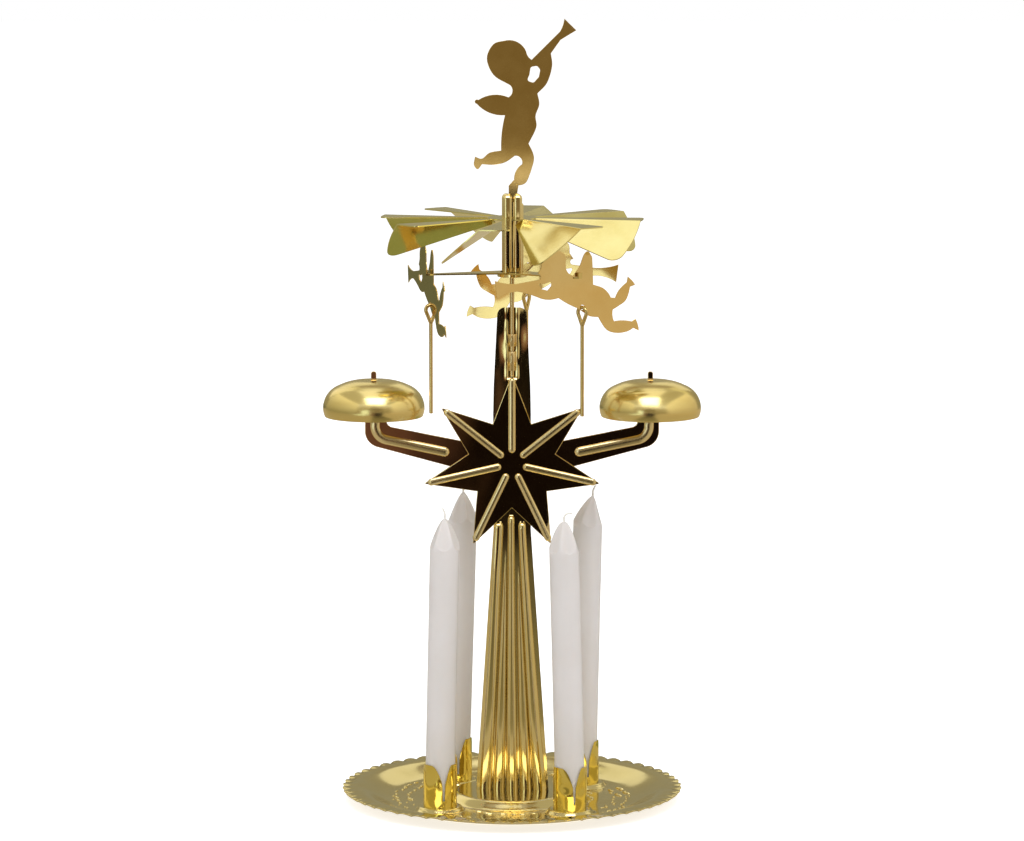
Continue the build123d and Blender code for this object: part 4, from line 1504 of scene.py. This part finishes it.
    def bell_profile(self) -> list[Point2]:
        """The closed profile of a bell's wall, from the rim over the top and back inside.

        Returns:
            The profile's points.
        """
        tall = self.bell_height / 0.985
        outer: list[Point2] = []
        for run in self.bell_runs:
            points = [(r * self.bell_radius, z * tall) for r, z in run]
            outer += arc_through(*points, 12)[:-1]
        outer.append((0.3 * self.bell_radius, self.bell_height))
        hole = math.hypot(2.3, self.sheet) / 2 + 0.1
        outer += [(3.0, self.bell_height), (hole + 0.2, self.bell_height), (hole, self.bell_height - 0.15)]
        scale_r, scale_z = 1 - self.bell_wall / self.bell_radius, 1 - self.bell_wall / self.bell_height
        inner = [(r * scale_r, max(0.12, z * scale_z)) for r, z in outer[:-3]]
        inner += [(3.0, self.bell_height - self.bell_wall), (hole, self.bell_height - self.bell_wall)]
        rim = [(0.965 * self.bell_radius - 0.25, 0.0)]
        return rim + outer + inner[::-1]

    def build(self) -> None:
        """Builds and dresses the star, the yoke and the bells."""
        star, ribs, (yoke, yoke_ribs) = self.make_star(), self.make_star_ribs(), self.make_yoke()
        Finish.STAR.on(star)
        Finish.YOKE.on(yoke)
        Finish.RIBS.on(ribs, yoke_ribs)
        seat(star, "base", "star", "star")
        seat(ribs, "base", "star")
        seat(yoke, "base", "yoke", "bell_yoke")
        seat(yoke_ribs, "base", "yoke")
        for side, name in ((-1, "bell_left"), (1, "bell_right")):
            bell = lathe(name + "_dome", self.bell_profile(), 112, 40.0)
            move(bell, shift(side * self.bell_x, self.back - self.sheet / 2, self.bell_rim))
            Finish.BELLS.on(bell)
            seat(bell, name, "bells", name)


@dataclass
class Turner:
    """What turns on the needle: the fluted hub, the fan and the spider."""

    hub_foot: float = 224.6
    hub_top: float = 259.6
    flutes: int = 4
    flute_radius: float = 1.9
    flute_circle: float = 3.0
    flute_angle: float = 53.0
    seam: tuple[float, float, float] = (4.1, -0.4, 0.75)
    seam_drop: float = 4.0
    core_radius: float = 3.8
    bore: float = 3.0
    collar: float = 6.2
    collar_height: float = 1.4
    core_drop: float = 3.2
    column_power: float = 0.6
    fan_height: float = 249.6
    fan_sheet: float = 0.5
    fan_radius: float = 55.5
    disc: float = 10.5
    root: float = 9.0
    blades: int = 8
    phase: float = 31.0
    flat: float = 13.0
    flap: float = 27.0
    tilt: float = 40.0
    bend: float = 0.9
    blade_corners: Point2 = (5.0, 2.5)

    def make_hub(self) -> bpy.types.Object:
        """Makes the hub: a core with rounded columns set about it by a tree.

        Returns:
            The hub.
        """
        def squarish(x: float) -> float:
            """A sine or cosine that makes a circle a little square."""
            return math.copysign(abs(x) ** self.column_power, x)

        r, top = self.flute_radius, self.hub_top - self.flute_radius
        cx, cy, _ = polar(self.flute_circle, self.flute_angle)
        heights = [(self.hub_foot, 0.93), (self.hub_foot + 0.15, 1.0), (236.0, 1.0), (248.0, 1.0)]
        heights += [(top + r * math.sin(a), math.cos(a))
                    for a in map(math.radians, (0, 15, 30, 45, 58, 70, 80, 87))]
        rows = []
        for z, size in heights:
            rows.append([(cx + r * size * squarish(math.cos(a)), cy + r * size * squarish(math.sin(a)), z)
                         for a in (FULL_TURN * (k + 0.5) / 40 for k in range(40))])
        flute = Skin().grid(rows, loop=True).cap(rows[0]).cap(rows[-1]).piece("hub_flutes", 60.0)
        set_round(flute, self.flutes, Axis.Z, Finish.HUB)
        x, y, r = self.seam
        low = self.hub_top - self.seam_drop - r
        dome = [(r * math.cos(a), low + r * math.sin(a)) for a in map(math.radians, range(0, 90, 15))]
        seam = lathe("hub_seam", [(0.0, self.hub_foot), (r, self.hub_foot), *dome, (0.0, low + r)], 20)
        move(seam, shift(x, y, 0.0))
        core_top = self.hub_top - self.core_drop
        foot, step, wide = self.hub_foot, self.hub_foot + self.collar_height, self.collar
        core = lathe("hub_core", [
            (self.bore, foot), (wide - 0.15, foot), (wide, foot + 0.15), (wide, step - 0.15),
            (wide - 0.15, step), (self.core_radius, step), (self.core_radius, core_top), (0.0, core_top),
            (0.0, core_top - 2.0), (1.2, core_top - 3.0), (self.bore, core_top - 3.0)], 48)
        return joined("hub_fluted", [flute, seam, core])

    def blade_outline(self) -> list[Point2]:
        """One blade's outline laid flat, its fold along the X axis.

        Returns:
            The outline's points.
        """
        far, near = self.fan_radius, self.root
        corner_out, corner_in = self.blade_corners
        out: list[Point2] = [polar(near, -self.flap)[:2]]
        start = polar(far - corner_out, -self.flap)[:2]
        turn_out, turn_in = (math.degrees(corner / far) for corner in self.blade_corners)
        knee = polar(far - 1.5, -self.flap + turn_out * 0.28)[:2]
        out += arc_through(start, knee, polar(far, -self.flap + turn_out)[:2], 8)
        out += [polar(far, a)[:2] for a in spread(-self.flap + turn_out, self.flat - turn_in, 22)[1:-1]]
        knee = polar(far - 0.75, self.flat - turn_in * 0.28)[:2]
        last = polar(far - corner_in, self.flat)[:2]
        out += arc_through(polar(far, self.flat - turn_in)[:2], knee, last, 7)
        out += [polar(near, a)[:2] for a in spread(self.flat, -self.flap, 9)[:-1]]
        return out

    def make_fan(self) -> bpy.types.Object:
        """Makes the fan: one folded blade set round the disc by a tree.

        Returns:
            The fan.
        """
        bm = bmesh.new()
        bm.faces.new([bm.verts.new((x * MM, y * MM, 0.0)) for x, y in self.blade_outline()])
        bend, tilt = self.bend, math.radians(self.tilt)
        length = bend * tilt
        for y in (0.0, *(-length * k / 5 for k in range(1, 6))):
            bmesh.ops.bisect_plane(bm, geom=[*bm.verts, *bm.edges, *bm.faces], dist=1e-7,
                                   plane_co=(0.0, y * MM, 0.0), plane_no=(0.0, 1.0, 0.0))
        for vert in bm.verts:
            y = vert.co.y / MM
            if y >= 0:
                continue
            a = min(tilt, -y / bend)
            rest = max(0.0, -y - length)
            vert.co.y = -(bend * math.sin(a) + rest * math.cos(tilt)) * MM
            vert.co.z = -(bend * (1 - math.cos(a)) + rest * math.sin(tilt)) * MM
        mesh = bpy.data.meshes.new("fan_blades")
        bm.to_mesh(mesh)
        bm.free()
        blade = link("fan_blades", mesh, 60.0)
        thicken = blade.modifiers.new("solidify", "SOLIDIFY")
        thicken.thickness, thicken.offset, thicken.use_even_offset = self.fan_sheet * MM, -1.0, True
        plain_mesh(blade, thicken)
        move(blade, shift(0, 0, self.fan_height))
        set_round(blade, self.blades, Axis.Z, Finish.FAN, first=self.phase)
        top, low = self.fan_height + 0.01, self.fan_height - self.fan_sheet - 0.01
        hole = self.core_radius + 0.05
        disc = lathe("fan_disc", [(hole, low), (self.disc, low), (self.disc, top), (hole, top)], 64)
        return joined("fan_folded", [blade, disc])

    def build(self) -> None:
        """Builds and dresses the hub and the fan, and dresses the spider."""
        hub, fan = self.make_hub(), self.make_fan()
        Finish.HUB.on(hub)
        Finish.FAN.on(fan)
        seat(hub, "carousel", "hub", "hub")
        seat(fan, "carousel", "fan", "fan")
        Finish.SPIDER.on(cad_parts["spider"])


@dataclass
class Figures:
    """The three flying angels with their strikers, and the trumpeter on top."""

    sheet: float = 0.6
    angel_sheet: float = 0.4
    edge: float = 0.1
    length: float = 66.0
    circle: float = 35.85
    hole_height: float = 213.8
    hole_radius: float = 1.1
    names: tuple[str, ...] = ("front_left", "front_right", "back")
    angles: tuple[float, ...] = (198.0, 325.0, 80.0)
    headings: tuple[float, ...] = (105.0, 204.0, -10.0)
    wire_radius: float = 0.8
    loop_turns: tuple[float, ...] = (0.0, 30.0, -25.0)
    slot_height: float = 12.6
    loop_radius: float = 2.15
    loop_length: float = 5.6
    stem_top: float = -7.3
    striker_foot: float = 167.8
    trumpeter_height: float = 70.4
    trumpeter_foot: float = 263.0

    def hole_disc(self, radius: float, x: float = 0.0, z: float = 0.0) -> list[Point2]:
        """The outline of a round hole."""
        return [(x + radius * math.cos(a), z + radius * math.sin(a))
                for a in (FULL_TURN * k / 20 for k in range(20))]

    def place(self, i: int) -> Matrix:
        """The move from a figure's own sheet to its place on the carousel."""
        x, y, _ = polar(self.circle, self.angles[i])
        return shift(x, y, self.hole_height) @ turn(self.headings[i] + 180)

    def make_angel(self, i: int) -> bpy.types.Object:
        """Makes one flying angel.

        Args:
            i: Which one, counted from 0.

        Returns:
            The angel in its place.
        """
        gap = rounded([(x * self.length, z * self.length, 0.45) for x, z in ANGEL_GAP], 5)
        low, high = self.slot_height - 0.35, self.slot_height + 0.35
        slot = [(-4.3, low), (-0.3, low), (-0.3, high), (-4.3, high)]
        angel = stamping("angel_" + self.names[i] + "_stamped",
                         [trace(ANGEL_RUNS, self.length), gap, self.hole_disc(self.hole_radius), slot],
                         self.angel_sheet, self.edge)
        return move(angel, self.place(i))

    def make_striker(self, i: int) -> bpy.types.Object:
        """Makes one striker: a wire bent into a drop-shaped loop.

        Args:
            i: Which one, counted from 0.

        Returns:
            The striker in its place.
        """
        r, far = self.loop_radius, self.loop_length
        lean = math.asin(r / far)
        arc = [(0.0, r * math.cos(a), -r + r * math.sin(a))
               for a in spread(-lean, math.pi + lean, 22)]
        leg_foot = (0.0, 0.0, -r - far)
        path = [leg_foot, *[tuple(Vector(leg_foot).lerp(Vector(arc[0]), t)) for t in (0.3, 0.65)], *arc,
                *[tuple(Vector(arc[-1]).lerp(Vector(leg_foot), t)) for t in (0.35, 0.7, 1.0)]]
        loop = move(wire("striker_loop", path, self.wire_radius, 14), turn(self.loop_turns[i]))
        heights = spread(self.striker_foot - self.hole_height, self.stem_top, 12)
        stem = wire("striker_stem", [(0.0, 0.0, z) for z in heights], self.wire_radius, 14)
        return move(joined("striker_" + self.names[i] + "_wire", [loop, stem]), self.place(i))

    def make_trumpeter(self) -> bpy.types.Object:
        """Makes the standing trumpeter with the peg under its foot.

        Returns:
            The trumpeter in its place.
        """
        size = self.trumpeter_height
        gap = rounded([(x * size, z * size, 1.1) for x, z in TRUMPETER_GAP], 6)
        body = stamping("trumpeter_body", [trace(TRUMPETER_RUNS, size), gap], self.sheet, self.edge)
        outline = [(-1.4, -8.05), (1.4, -8.05), (0.044 * size, 0.030 * size),
                   (0.034 * size, 0.060 * size), (-1.4, -0.05)]
        peg = stamping("trumpeter_peg", [outline], self.sheet - 0.06, self.edge)
        return move(joined("trumpeter_stamped", [body, peg]), shift(0, 0, self.trumpeter_foot))

    def build(self) -> None:
        """Builds and dresses every figure and striker."""
        for i, name in enumerate(self.names):
            angel, striker = self.make_angel(i), self.make_striker(i)
            Finish.ANGELS.on(angel)
            Finish.STRIKERS.on(striker)
            seat(angel, "carousel", "angels", "angel_" + name)
            seat(striker, "striker_" + name, "strikers", "striker_" + name)
        trumpeter = self.make_trumpeter()
        Finish.TRUMPETER.on(trumpeter)
        seat(trumpeter, "carousel", "trumpeter", "trumpeter")


ANGEL_RUNS = (
    ((-0.605, 0.195), (-0.590, 0.080)),
    ((-0.590, 0.080), (-0.530, 0.108), (-0.450, 0.120)),
    ((-0.450, 0.120), (-0.390, 0.105), (-0.325, 0.083)),
    ((-0.325, 0.083), (-0.270, 0.063), (-0.215, 0.058), (-0.165, 0.066)),
    ((-0.165, 0.066), (-0.120, 0.037), (-0.030, -0.006)),
    ((-0.030, -0.006), (0.020, -0.040), (0.055, -0.060), (0.112, -0.068)),
    ((0.112, -0.068), (0.128, -0.096), (0.161, -0.142), (0.200, -0.167), (0.260, -0.176),
     (0.318, -0.168), (0.358, -0.148)),
    ((0.358, -0.148), (0.396, -0.167)),
    ((0.396, -0.167), (0.390, -0.128), (0.373, -0.091)),
    ((0.373, -0.091), (0.347, -0.106)),
    ((0.347, -0.106), (0.285, -0.096), (0.222, -0.099)),
    ((0.222, -0.099), (0.211, -0.062), (0.213, -0.024)),
    ((0.213, -0.024), (0.253, -0.003), (0.299, 0.026), (0.321, 0.066), (0.334, 0.116)),
    ((0.334, 0.116), (0.370, 0.128)),
    ((0.370, 0.128), (0.348, 0.156), (0.318, 0.182)),
    ((0.318, 0.182), (0.311, 0.146)),
    ((0.311, 0.146), (0.277, 0.120), (0.248, 0.088), (0.229, 0.050)),
    ((0.229, 0.050), (0.199, 0.054)),
    ((0.199, 0.054), (0.181, 0.084), (0.141, 0.119), (0.075, 0.142)),
    ((0.075, 0.142), (0.075, 0.155)),
    ((0.075, 0.155), (0.072, 0.240), (0.068, 0.318)),
    ((0.068, 0.318), (0.040, 0.355), (0.010, 0.335), (-0.020, 0.265), (-0.065, 0.205)),
    ((-0.065, 0.205), (-0.100, 0.225), (-0.115, 0.270)),
    ((-0.115, 0.270), (-0.125, 0.345), (-0.205, 0.372), (-0.275, 0.325), (-0.285, 0.262)),
    ((-0.285, 0.262), (-0.310, 0.225)),
    ((-0.310, 0.225), (-0.290, 0.215), (-0.297, 0.190)),
    ((-0.297, 0.190), (-0.450, 0.170)),
    ((-0.450, 0.170), (-0.530, 0.175), (-0.605, 0.195)),
)
ANGEL_GAP = ((-0.306, 0.167), (-0.288, 0.130), (-0.242, 0.118), (-0.216, 0.146), (-0.218, 0.174),
             (-0.262, 0.160))
TRUMPETER_RUNS = (
    ((0.312, 0.996), (0.383, 0.927)),
    ((0.383, 0.927), (0.330, 0.895), (0.289, 0.870)),
    ((0.289, 0.870), (0.232, 0.790)),
    ((0.232, 0.790), (0.239, 0.713), (0.209, 0.614), (0.152, 0.551)),
    ((0.152, 0.551), (0.163, 0.486), (0.141, 0.418), (0.145, 0.348), (0.099, 0.251)),
    ((0.099, 0.251), (0.125, 0.197), (0.131, 0.151), (0.110, 0.075)),
    ((0.110, 0.075), (0.085, 0.020), (0.048, 0.002), (0.018, 0.012), (0.012, 0.040)),
    ((0.012, 0.040), (0.022, 0.085), (0.060, 0.128)),
    ((0.060, 0.128), (0.052, 0.165), (0.018, 0.179)),
    ((0.018, 0.179), (-0.042, 0.139), (-0.110, 0.125), (-0.179, 0.128)),
    ((-0.179, 0.128), (-0.205, 0.098), (-0.228, 0.125), (-0.221, 0.173)),
    ((-0.221, 0.173), (-0.179, 0.162), (-0.134, 0.197), (-0.065, 0.210)),
    ((-0.065, 0.210), (-0.062, 0.310), (-0.042, 0.421)),
    ((-0.042, 0.421), (-0.134, 0.435), (-0.210, 0.489)),
    ((-0.210, 0.489), (-0.222, 0.505), (-0.201, 0.512)),
    ((-0.201, 0.512), (-0.134, 0.540), (-0.021, 0.528)),
    ((-0.021, 0.528), (0.002, 0.560), (-0.011, 0.600)),
    ((-0.011, 0.600), (-0.110, 0.661), (-0.150, 0.760), (-0.110, 0.845), (-0.031, 0.868)),
    ((-0.031, 0.868), (0.045, 0.850), (0.085, 0.800)),
    ((0.085, 0.800), (0.097, 0.770), (0.117, 0.752)),
    ((0.117, 0.752), (0.286, 0.920)),
    ((0.286, 0.920), (0.300, 0.950), (0.312, 0.996)),
)
TRUMPETER_GAP = ((0.111, 0.709), (0.150, 0.716), (0.168, 0.692), (0.160, 0.650), (0.128, 0.614),
                 (0.088, 0.628), (0.104, 0.662))


# ---- studio ----


@dataclass(frozen=True)
class Card:
    """A plain card in the studio that only reflections see, in metres."""

    name: str
    centre: Point
    size: Point2
    low: Colour
    high: Colour
    heading: float = 0.0
    pitch: float = 0.0
    across: float = 0.0


@dataclass(frozen=True)
class Softbox:
    """A soft square lamp, in metres and watts."""

    name: str
    place: Point
    aim: Point
    size: float
    power: float
    mirrored: bool = False


def seen_rays(graph: Graph) -> bpy.types.NodeSocket:
    """1 for a ray from the camera, off gloss or through glass, and otherwise 0.

    Args:
        graph: The graph that gets the nodes.

    Returns:
        The socket with the result.
    """
    ray = graph.add("ShaderNodeLightPath").outputs
    either = graph.math("MAXIMUM", ray["Is Camera Ray"], ray["Is Glossy Ray"])
    return graph.math("MAXIMUM", either, ray["Is Transmission Ray"])


def flat_sheet(name: str, size: Point2, matrix: Matrix, material: bpy.types.Material) -> bpy.types.Object:
    """A flat sheet in the studio.

    Args:
        name: The sheet's name.
        size: Its own width and height before it is turned, in metres.
        matrix: Where it stands and how it is turned.
        material: Its material.

    Returns:
        The linked sheet.
    """
    x, z = size[0] / 2, size[1] / 2
    mesh = bpy.data.meshes.new(name)
    mesh.from_pydata([(-x, 0, -z), (x, 0, -z), (x, 0, z), (-x, 0, z)], [], [(0, 1, 2, 3)])
    mesh.materials.append(material)
    sheet = bpy.data.objects.new(name, mesh)
    bpy.context.collection.objects.link(sheet)
    sheet.matrix_world = matrix
    return sheet


def aim_from(place: Point, target: Point, name: str, data: bpy.types.ID) -> bpy.types.Object:
    """Sets up a lamp or camera that looks from one place to another.

    Args:
        place: Where it stands, in metres.
        target: What it looks at, in metres.
        name: The object's name.
        data: The lamp or camera.

    Returns:
        The linked object.
    """
    piece = bpy.data.objects.new(name, data)
    bpy.context.collection.objects.link(piece)
    way = (Vector(target) - Vector(place)).to_track_quat("-Z", "Y")
    piece.matrix_world = Matrix.Translation(place) @ way.to_matrix().to_4x4()
    return piece


@dataclass
class Studio:
    """The floor, the white background, the lamps, the cards and the camera."""

    focal: float = 171.744
    sensor: float = 36.0
    camera_place: Point = (0.0, -2.050, 0.445)
    camera_aim: Point = (0.0, 0.0, 0.163225)
    clip: Point2 = (0.05, 40.0)
    ambient: float = 0.5
    floor_glow: float = 0.66
    floor_size: float = 12.0
    paper: tuple[float, float, float, float] = (0.86, 0.86, 0.86, 1.0)
    softboxes: tuple[Softbox, ...] = (
        Softbox("key", (0.02, -0.95, 1.45), (0.0, 0.0, 0.15), 1.05, 11.0, mirrored=True),
        Softbox("left", (-1.2, -0.5, 0.75), (0.0, 0.0, 0.15), 0.8, 3.0),
        Softbox("right", (1.2, -0.4, 0.75), (0.0, 0.0, 0.15), 0.8, 3.4),
        Softbox("top", (0.0, 0.3, 1.6), (0.0, 0.0, 0.1), 0.9, 5.0),
    )
    cards: tuple[Card, ...] = (
        Card("front_low", (0.0, -0.62, 0.098), (0.30, 0.218), (0.31, 0.155, 0.095),
              (0.006, 0.003, 0.002), across=0.43),
        Card("front_leg", (0.0, -0.62, 0.2175), (0.30, 0.021), (1.1, 1.0, 0.82), (0.34, 0.28, 0.16)),
        Card("front_high", (0.0, -0.62, 0.314), (0.30, 0.172), (0.24, 0.18, 0.095), (0.20, 0.155, 0.09)),
        Card("front_floor", (0.015, -0.38, 0.0008), (0.20, 0.48), (0.02, 0.012, 0.008),
              (0.29, 0.255, 0.15), pitch=-90.0),
        Card("back_floor", (0.06, 0.22, 0.0008), (0.36, 0.26), (0.27, 0.28, 0.10),
              (0.31, 0.31, 0.12), pitch=-90.0),
        Card("floor", (0.0, -0.5, 0.0003), (4.4, 4.6), (0.36, 0.35, 0.25),
              (0.72, 0.58, 0.38), across=1.0, pitch=-90.0),
        Card("floor_bright", (-0.62, -1.4, 0.0006), (0.5, 1.4), (1.25, 1.45, 1.4),
              (1.25, 1.45, 1.4), pitch=-90.0),
        Card("back", (0.0, 1.4, 0.52), (4.4, 1.14), (0.31, 0.29, 0.19), (0.42, 0.38, 0.26)),
        Card("back_high", (0.0, 1.4, 1.42), (4.4, 0.66), (0.5, 0.46, 0.3), (1.25, 1.2, 0.8)),
        Card("back_left", (-0.85, 1.35, 0.06), (0.7, 0.15), (0.13, 0.14, 0.08), (0.15, 0.16, 0.09)),
        Card("back_bright", (-0.95, 1.36, 1.15), (0.8, 1.0), (1.15, 1.08, 0.86), (1.15, 1.08, 0.86)),
        Card("slope_right", (0.42, 1.36, 0.94), (0.64, 0.56), (1.0, 0.95, 0.72), (1.0, 0.95, 0.72)),
        Card("slope_left", (-0.42, 1.37, 0.94), (0.64, 0.56), (1.0, 0.95, 0.72), (1.0, 0.95, 0.72)),
        Card("back_middle", (0.05, 1.38, 1.49), (1.0, 0.52), (0.34, 0.29, 0.20), (0.40, 0.34, 0.24)),
        Card("left", (-1.6, 0.0, 0.85), (4.0, 1.8), (0.32, 0.30, 0.20), (1.2, 1.12, 0.86), heading=90.0),
        Card("right", (1.6, 0.0, 0.85), (4.0, 1.8), (0.58, 0.50, 0.36), (1.2, 1.12, 0.86), heading=90.0),
        Card("ceiling", (0.0, 0.0, 1.9), (4.4, 4.4), (0.58, 0.54, 0.40), (0.58, 0.54, 0.40), pitch=90.0),
        Card("skylight", (0.0, 0.1, 1.88), (1.1, 2.2), (1.25, 1.22, 1.08), (1.25, 1.22, 1.08), pitch=90.0),
        Card("front", (0.0, -2.7, 0.85), (4.4, 1.8), (0.34, 0.29, 0.18), (0.50, 0.45, 0.32)),
        Card("front_middle", (0.0, -2.68, 1.1), (1.0, 0.7), (0.21, 0.18, 0.11), (0.21, 0.18, 0.11)),
        Card("front_bright", (-1.0, -2.6, 0.4), (0.8, 0.9), (1.25, 1.45, 1.4), (1.25, 1.45, 1.4)),
    )

    def make_world(self) -> None:
        """Makes the world white where it is seen, and dimmer as a light."""
        world = bpy.data.worlds.new("studio")
        bpy.context.scene.world = world
        world.use_nodes = True
        world.node_tree.nodes.clear()
        graph = Graph(world.node_tree)
        level = graph.add("ShaderNodeMapRange", {"Value": seen_rays(graph), "To Min": self.ambient})
        glow = graph.add("ShaderNodeBackground", {
            "Color": colour4(WHITE), "Strength": level.outputs["Result"]})
        graph.add("ShaderNodeOutputWorld", {"Surface": glow.outputs["Background"]})

    def make_floor(self) -> None:
        """Makes the pale floor, which keeps the object's shadow."""
        material, graph = blank_material("floor_paper")
        paper = graph.add("ShaderNodeBsdfDiffuse", {"Color": self.paper})
        glow = graph.add("ShaderNodeEmission", {
            "Strength": graph.math("MULTIPLY", seen_rays(graph), self.floor_glow)})
        both = graph.add("ShaderNodeAddShader", {0: paper.outputs[0], 1: glow.outputs[0]})
        graph.add("ShaderNodeOutputMaterial", {"Surface": both.outputs[0]})
        floor = flat_sheet("floor", (self.floor_size, self.floor_size), turn(-90, "X"), material)

    def make_card(self, card: Card) -> None:
        """Makes one card with a tone that changes from its foot to its top, or across it.

        Args:
            card: The card's place, size and tones.
        """
        half_w, half_h = card.size[0] / 2, card.size[1] / 2
        if card.across:
            low, high, way = -half_w, half_w * (2 * card.across - 1), "X"
        else:
            low, high, way = -half_h, half_h, "Z"
        material, graph = blank_material("card_" + card.name)
        where = graph.add("ShaderNodeTexCoord").outputs["Object"]
        along = graph.add("ShaderNodeSeparateXYZ", {0: where}).outputs[way]
        share = graph.add("ShaderNodeMapRange", {"Value": along, "From Min": low, "From Max": high})
        tone = graph.mixed(share.outputs["Result"], colour4(card.low), colour4(card.high))
        glow = graph.add("ShaderNodeEmission", {"Color": tone})
        graph.add("ShaderNodeOutputMaterial", {"Surface": glow.outputs[0]})
        place = Matrix.Translation(card.centre) @ turn(card.heading) @ turn(card.pitch, "X")
        piece = flat_sheet("card_" + card.name, card.size, place, material)
        piece.visible_camera = piece.visible_diffuse = piece.visible_shadow = False
        piece.visible_transmission = piece.visible_volume_scatter = False

    def make_lamp(self, box: Softbox) -> None:
        """Makes one soft lamp.

        Args:
            box: The lamp's place, aim, size and power.
        """
        lamp = bpy.data.lights.new(box.name, "AREA")
        lamp.shape, lamp.size, lamp.energy = "SQUARE", box.size, box.power
        aim_from(box.place, box.aim, "lamp_" + box.name, lamp).visible_glossy = box.mirrored

    def build(self) -> None:
        """Builds the whole studio and sets the camera."""
        bpy.context.scene.view_settings.view_transform = "Standard"
        self.make_world()
        self.make_floor()
        for card in self.cards:
            self.make_card(card)
        for box in self.softboxes:
            self.make_lamp(box)
        lens = bpy.data.cameras.new("camera")
        lens.sensor_fit, lens.sensor_width, lens.lens = "HORIZONTAL", self.sensor, self.focal
        lens.clip_start, lens.clip_end = self.clip
        bpy.context.scene.camera = aim_from(self.camera_place, self.camera_aim, "camera", lens)


def main() -> None:
    """Builds the object's sub-assemblies in order, then the studio."""
    logging.basicConfig(level=logging.INFO, format="%(name)s: %(message)s")
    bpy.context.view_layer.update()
    sheet_tone_group()
    sheet_relief_group()
    turned_copies_tree()
    ring_marks_tree()
    for assembly in (CandleTray(), CandlePlaces(), FlutedTower(), StarAndYoke(), Turner(), Figures(),
                     Studio()):
        assembly.build()
        log.info("%s is built", type(assembly).__name__)
    bpy.context.view_layer.update()


if __name__ == "__main__":
    main()
